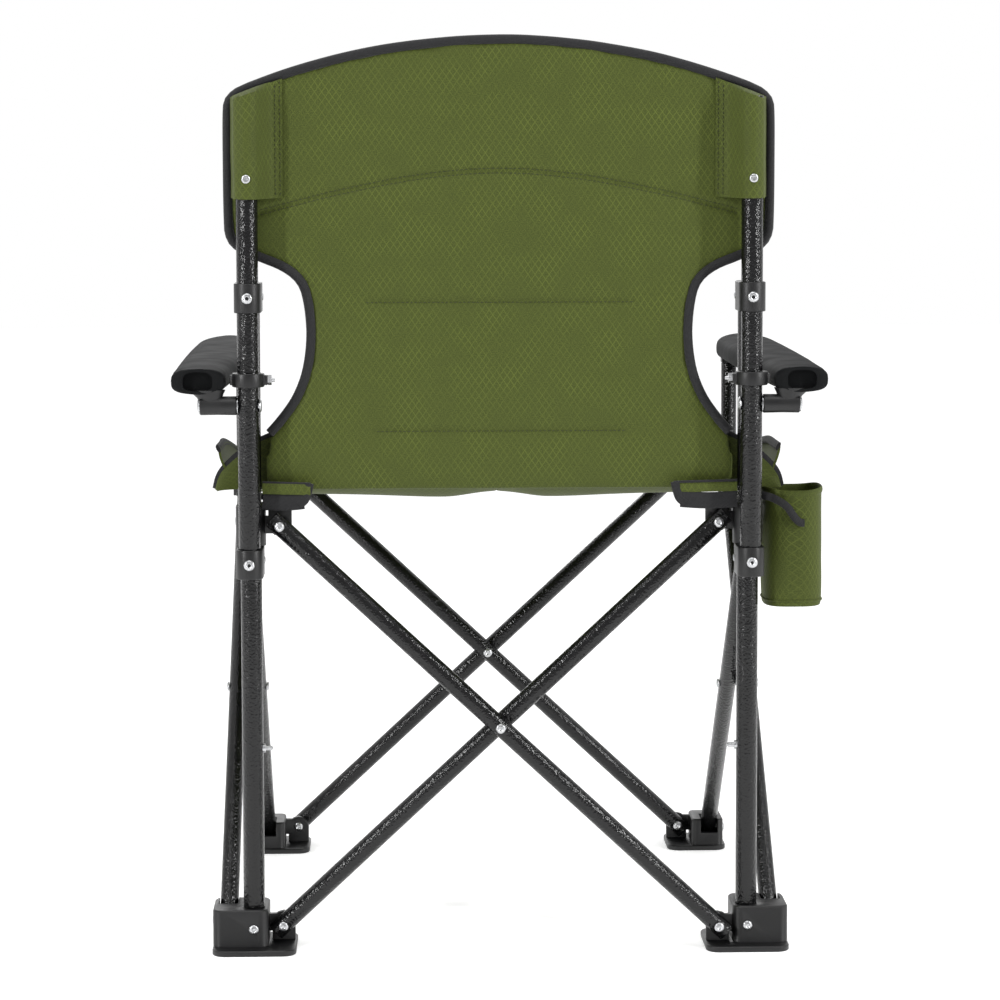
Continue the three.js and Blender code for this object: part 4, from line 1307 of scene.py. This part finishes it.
def free_edge(place, steps):
    """The line along a sheet's free edge, where v is 1."""
    return [place(u / steps, 1.0) for u in range(steps + 1)]


class CAMPCHAIR_OT_hip_flaps(bpy.types.Operator):
    """Make the bound flaps beside the rear posts and the tabs over the rear brackets"""

    bl_idname = "camp_chair.hip_flaps"
    bl_label = "Hip Flaps"

    def execute(self, context):
        for side, hand in SIDES:
            self.wing(side, hand)
            self.side_wing(side, hand)
            self.tab(side, hand)
        return {"FINISHED"}

    def bound(self, name, line, face, body, width):
        """A strip of binding along the edge of a flap, its broad side facing that way."""
        bm = bmesh.new()
        sweep(bm, strip_places(line, [face] * len(line), width, 4 * MM), 10)
        return mount(add_piece(name, bm, woven_tape(), sharp=60), body, "binding_black")

    def wing(self, side, hand):
        """The wing that runs from the backrest's hip round the front of the post."""
        slope = [Vector((x * MM, 0, z * MM)) for x, z in ((222, 538), (243, 529), (264, 516), (280, 502),
                                                          (288, 491), (291.5, 478))]
        slope = spline(slope, 6)

        def place(u, v, hand=hand):
            at = slope[min(len(slope) - 1, round(u * (len(slope) - 1)))]
            bottom = (480 - 4 * u) * MM
            y = BACK_LOW.y - 4 * MM - 22 * MM * math.sin(min(1.0, u * 2.2) * math.pi / 2)
            ripple = 1.5 * MM * noise.noise(Vector((at.x * 30, v * 2, hand * 2.0)))
            z = bottom + v * max(0.5 * MM, at.z - bottom)
            return Vector((hand * at.x, y + ripple - 5 * MM * v * u, z))

        sheet = grid_sheet(
            f"hip_wing_{side}", len(slope) - 1, 10, place, HIP_WING_CUT[::-1], 2.4 * MM, ripstop())
        mount(sheet, f"rear_bracket_{side}", "fabric_green")
        self.bound(f"hip_wing_binding_{side}", free_edge(place, 30), Vector((0, 1, 0)),
                   f"rear_bracket_{side}", 11 * MM)

    def side_wing(self, side, hand):
        """The wing that stands up along the seat's side."""
        def place(u, v, hand=hand):
            y = WING_REAR - SIDE_WING_CUT[1] * u
            tall = math.sin(min(1.0, (1 - u) * 1.25) * math.pi / 2) ** 1.5
            rise = WING_RISE * tall * v
            out = WING_SPREAD * tall * math.sin(v * math.pi / 2)
            ripple = 1.2 * MM * noise.noise(Vector((y * 14, v * 2, hand * 4.0)))
            return Vector((hand * (264 * MM + out + ripple), y, WING_FOOT + rise))

        sheet = grid_sheet(f"side_wing_{side}", 44, 10, place, SIDE_WING_CUT[::-1], 2.4 * MM, ripstop())
        mount(sheet, f"rear_bracket_{side}", "fabric_green")
        bound = self.bound(
            f"side_wing_binding_{side}", free_edge(place, 44), Vector((hand, 0, -0.5)).normalized(),
            f"rear_bracket_{side}", 9 * MM)
        for piece in (sheet, bound):
            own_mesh(piece)

    def tab(self, side, hand):
        """The bound tab of seat fabric over the rear bracket, and the webbing loop below it."""
        far_end = (194 if hand > 0 else 178) * MM
        wide = POST_END - far_end

        def place(u, v):
            y = BACK_HIGH.y + 0.5 * MM + 2.5 * MM * math.sin(v * math.pi * 0.8)
            return Vector((hand * (POST_END - wide * u), y, (TAB_TOP - TAB_SHOWS * v - 1.5 * u) * MM))

        sheet = grid_sheet(f"seat_tab_{side}", 24, 6, place, (wide, TAB_SHOWS * MM), 1.6 * MM, ripstop())
        mount(sheet, f"rear_bracket_{side}", "fabric_green")
        loop = bmesh.new()
        outwards = Vector((0, 1, 0))
        band = []
        for step in range(25):
            u = step / 24
            drop = (8 + 1.6 * math.sin(u * math.pi)) * MM
            x = hand * (POST_END - (wide - 7 * MM) * u)
            band.append(Vector((x, BACK_HIGH.y + 1.5 * MM, 478 * MM - drop)))
        sweep(loop, strip_places(band, [outwards] * 25, 17 * MM, 3.4 * MM), 12)
        upright = spline([
            Vector((hand * (far_end + x * MM), BACK_HIGH.y + 2.2 * MM, z * MM))
            for x, z in ((12, 466), (6, 471), (3, 479), (1, 488))], 5)
        sweep(loop, strip_places(upright, [outwards] * len(upright), 9 * MM, 3.2 * MM), 12)
        top = [place(step / 20, 0.0) + Vector((0, 1.2 * MM, 0)) for step in range(21)]
        sweep(loop, strip_places(top, [outwards] * 21, 2.6 * MM, 2.4 * MM), 8)
        binding = add_piece(f"seat_loop_{side}", loop, woven_tape(), sharp=60)
        mount(binding, f"rear_bracket_{side}", "binding_black")


POCKET_BASE = 0.16  # share of the sheet's rows that make the base
POCKET_ROUND = 0.62  # power that squares off the pocket's outline
POCKET_STEPS = 64


class CAMPCHAIR_OT_cup_pocket(bpy.types.Operator):
    """Make the cup pocket with its hem and strap"""

    bl_idname = "camp_chair.cup_pocket"
    bl_label = "Cup Pocket"

    def execute(self, context):
        low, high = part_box("cup_pocket")
        centre = (low + high) / 2
        half_x, half_y = (high.x - low.x) / 2, (high.y - low.y) / 2

        def place(u, v):
            angle = u * math.tau
            shape = Vector((math.copysign(abs(math.cos(angle)) ** POCKET_ROUND, math.cos(angle)),
                            math.copysign(abs(math.sin(angle)) ** POCKET_ROUND, math.sin(angle)), 0))
            if v < POCKET_BASE:
                grow = v / POCKET_BASE
                grow_by = math.sin(grow * math.pi / 2) ** 0.8 * 0.96
                z = low.z + 0.5 * MM + 2.5 * MM * grow ** 6
            else:
                rise = (v - POCKET_BASE) / (1 - POCKET_BASE)
                z = low.z + 3 * MM + (high.z - low.z - 3 * MM) * rise
                grow_by = 0.96 + 0.04 * math.sin(min(1.0, rise * 3) * math.pi / 2)
                slack = noise.noise(Vector((math.cos(angle) * 1.3, math.sin(angle) * 1.3, rise * 2.2 + SEED)))
                grow_by *= 1 + 0.03 * slack - 0.02 * rise
                z -= 3 * MM * rise * abs(math.sin(angle)) ** 3
            return Vector((centre.x + shape.x * half_x * grow_by, centre.y + shape.y * half_y * grow_by, z))

        def ring(name, height, width, thickness):
            """A closed strip of the cloth round the pocket, at place's v of height."""
            line = [place(u / POCKET_STEPS, height) for u in range(POCKET_STEPS)]
            outwards = [(p - Vector((centre.x, centre.y, p.z))).normalized() for p in line]
            bm = bmesh.new()
            sweep(bm, strip_places(line, outwards, width, thickness, closed=True), 8, closed=True)
            piece = add_piece(name, bm, ripstop(), sharp=60)
            weave_map(piece, Vector((1, 0, 0)), UP)
            return piece

        pocket = grid_sheet(
            "cup_pocket_bag", POCKET_STEPS, 44, place, POCKET_CUT, 1.2 * MM, ripstop(), close=True)
        hem_piece = ring("cup_pocket_hem", 1.0, 7 * MM, 2.2 * MM)
        seam_piece = ring("cup_pocket_piping", POCKET_BASE + 0.03, 2.6 * MM, 2.6 * MM)
        strap = bmesh.new()
        line = spline([Vector((x * MM, y * MM, z * MM)) for x, y, z in (
            (-262, 238, 474), (-272, 250, 471), (-283, 256.5, 468), (-296, 258, 460), (-304, 256.5, 449),
            (-310, 255, 443), (-315, 253.5, 442))], 6)
        faces = [Vector((0, 1, 0.25)).normalized()] * len(line)
        sweep(strap, strip_places(line, faces, 8.5 * MM, 2.6 * MM), 10)
        strap_piece = add_piece("cup_pocket_strap", strap, woven_tape(), sharp=60)
        mount(pocket, "rear_bracket_right", "fabric_green", "cup_pocket")
        mount(hem_piece, "rear_bracket_right", "fabric_green")
        mount(seam_piece, "rear_bracket_right", "fabric_green")
        mount(strap_piece, "rear_bracket_right", "binding_black")
        for piece in (pocket, hem_piece, seam_piece, strap_piece):
            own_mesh(piece)
        return {"FINISHED"}


# ------------------------------------------------------------------- stage

CAMERA_AT = Vector((98.9 * MM, 3574.4 * MM, 821.1 * MM))
CAMERA_YAW, CAMERA_PITCH, CAMERA_ROLL = -0.0299, -0.0875, -0.0022
CAMERA_LENS, CAMERA_SHIFT = 116.7, -0.06


class CAMPCHAIR_OT_stage(bpy.types.Operator):
    """Make the floor, the soft studio lights and the camera"""

    bl_idname = "camp_chair.stage"
    bl_label = "Stage"

    def execute(self, context):
        bm = bmesh.new()
        bmesh.ops.create_grid(bm, x_segments=1, y_segments=1, size=12)
        floor = add_piece("floor", bm, self.floor_finish(), recalculate=False)
        world = bpy.data.worlds.new("studio")
        world.use_nodes = True
        background = world.node_tree.nodes["Background"]
        background.inputs["Color"].default_value = (1, 1, 1, 1)
        towards = add_node(world.node_tree, "ShaderNodeTexCoord").outputs["Generated"]
        apart = add_node(world.node_tree, "ShaderNodeSeparateXYZ", links={"Vector": towards})
        glow = add_node(
            world.node_tree, "ShaderNodeMapRange",
            {"From Min": -0.3, "From Max": 0.3, "To Min": 1.0, "To Max": 0.5}, {"Value": apart.outputs["Y"]})
        world.node_tree.links.new(glow.outputs["Result"], background.inputs["Strength"])
        context.scene.world = world
        context.scene.view_settings.view_transform = "Standard"
        for name, place, aim, extent, power in (
                ("strip_left", (2.3, 2.1, 1.6), (0, 0, 0.6), (0.14, 2.2), 52),
                ("strip_right", (-2.5, 1.7, 1.6), (0, 0, 0.6), (0.16, 2.2), 58),
                ("top", (0.1, 1.0, 3.0), (0, 0, 0.4), (1.8, 1.4), 20),
                ("front", (0.3, -3.0, 1.6), (0, 0, 0.5), (1.6, 1.2), 14)):
            lamp = bpy.data.lights.new(name, "AREA")
            lamp.shape = "RECTANGLE"
            lamp.size, lamp.size_y = extent
            lamp.energy = power
            light = bpy.data.objects.new(name, lamp)
            light.location = place
            light.rotation_euler = (Vector(aim) - Vector(place)).to_track_quat("-Z", "Y").to_euler()
            context.scene.collection.objects.link(light)
        data = bpy.data.cameras.new("camera")
        data.lens, data.sensor_width = CAMERA_LENS, 36
        data.shift_y = CAMERA_SHIFT
        camera = bpy.data.objects.new("camera", data)
        camera.location = CAMERA_AT
        ahead = Vector((math.sin(CAMERA_YAW) * math.cos(CAMERA_PITCH),
                        -math.cos(CAMERA_YAW) * math.cos(CAMERA_PITCH), math.sin(CAMERA_PITCH)))
        camera.rotation_mode = "QUATERNION"
        camera.rotation_quaternion = (
            ahead.to_track_quat("-Z", "Y") @ Matrix.Rotation(CAMERA_ROLL, 3, "Z").to_quaternion())
        context.scene.collection.objects.link(camera)
        context.scene.camera = camera
        return {"FINISHED"}

    def floor_finish(self):
        """Pale studio floor, lit from within, and dimmer on the side that the chair's back faces."""
        material, tree, shader = new_material("studio_floor", {
            "Roughness": 0.9, "Specular IOR Level": 0.0, "Emission Color": (1, 1, 1, 1)})
        place = add_node(tree, "ShaderNodeTexCoord").outputs["Object"]
        apart = add_node(tree, "ShaderNodeSeparateXYZ", links={"Vector": place})
        for socket, near, far in (("Emission Strength", 0.45, 0.25), ("Base Color", 0.82, 0.7)):
            fade = add_node(
                tree, "ShaderNodeMapRange",
                {"From Min": 0.6, "From Max": 2.2, "To Min": near, "To Max": far},
                {"Value": apart.outputs["Y"]})
            tree.links.new(fade.outputs["Result"], shader.inputs[socket])
        return material


# ------------------------------------------------------------------- panel

PIECE_OPERATORS = [
    CAMPCHAIR_OT_stage,
    CAMPCHAIR_OT_scissor_bars,
    CAMPCHAIR_OT_posts,
    CAMPCHAIR_OT_collars,
    CAMPCHAIR_OT_mouldings,
    CAMPCHAIR_OT_rivets,
    CAMPCHAIR_OT_armrests,
    CAMPCHAIR_OT_leg_bolts,
    CAMPCHAIR_OT_backrest,
    CAMPCHAIR_OT_post_sleeves,
    CAMPCHAIR_OT_seat,
    CAMPCHAIR_OT_hip_flaps,
    CAMPCHAIR_OT_cup_pocket,
]


class CAMPCHAIR_PT_pieces(bpy.types.Panel):
    """The chair's settings and the button for each group of pieces."""

    bl_idname = "CAMPCHAIR_PT_pieces"
    bl_label = "Camp Chair"
    bl_space_type = "VIEW_3D"
    bl_region_type = "UI"
    bl_category = "Camp Chair"

    def draw(self, context):
        for settings in (context.scene.camp_chair_fabric, context.scene.camp_chair_frame):
            for name in settings.bl_rna.properties.keys():
                if name not in ("rna_type", "name"):
                    self.layout.prop(settings, name)
        for operator in PIECE_OPERATORS:
            self.layout.operator(operator.bl_idname)


CLASSES = [CampChairFabric, CampChairFrame, *PIECE_OPERATORS, CAMPCHAIR_PT_pieces]


def register():
    for item in CLASSES:
        bpy.utils.register_class(item)
    bpy.types.Scene.camp_chair_fabric = bpy.props.PointerProperty(type=CampChairFabric)
    bpy.types.Scene.camp_chair_frame = bpy.props.PointerProperty(type=CampChairFrame)


def unregister():
    del bpy.types.Scene.camp_chair_fabric
    del bpy.types.Scene.camp_chair_frame
    for item in reversed(CLASSES):
        bpy.utils.unregister_class(item)


def main():
    """Builds the whole chair."""
    register()
    for operator in PIECE_OPERATORS:
        group, name = operator.bl_idname.split(".")
        getattr(getattr(bpy.ops, group), name)()


if __name__ == "__main__":
    main()
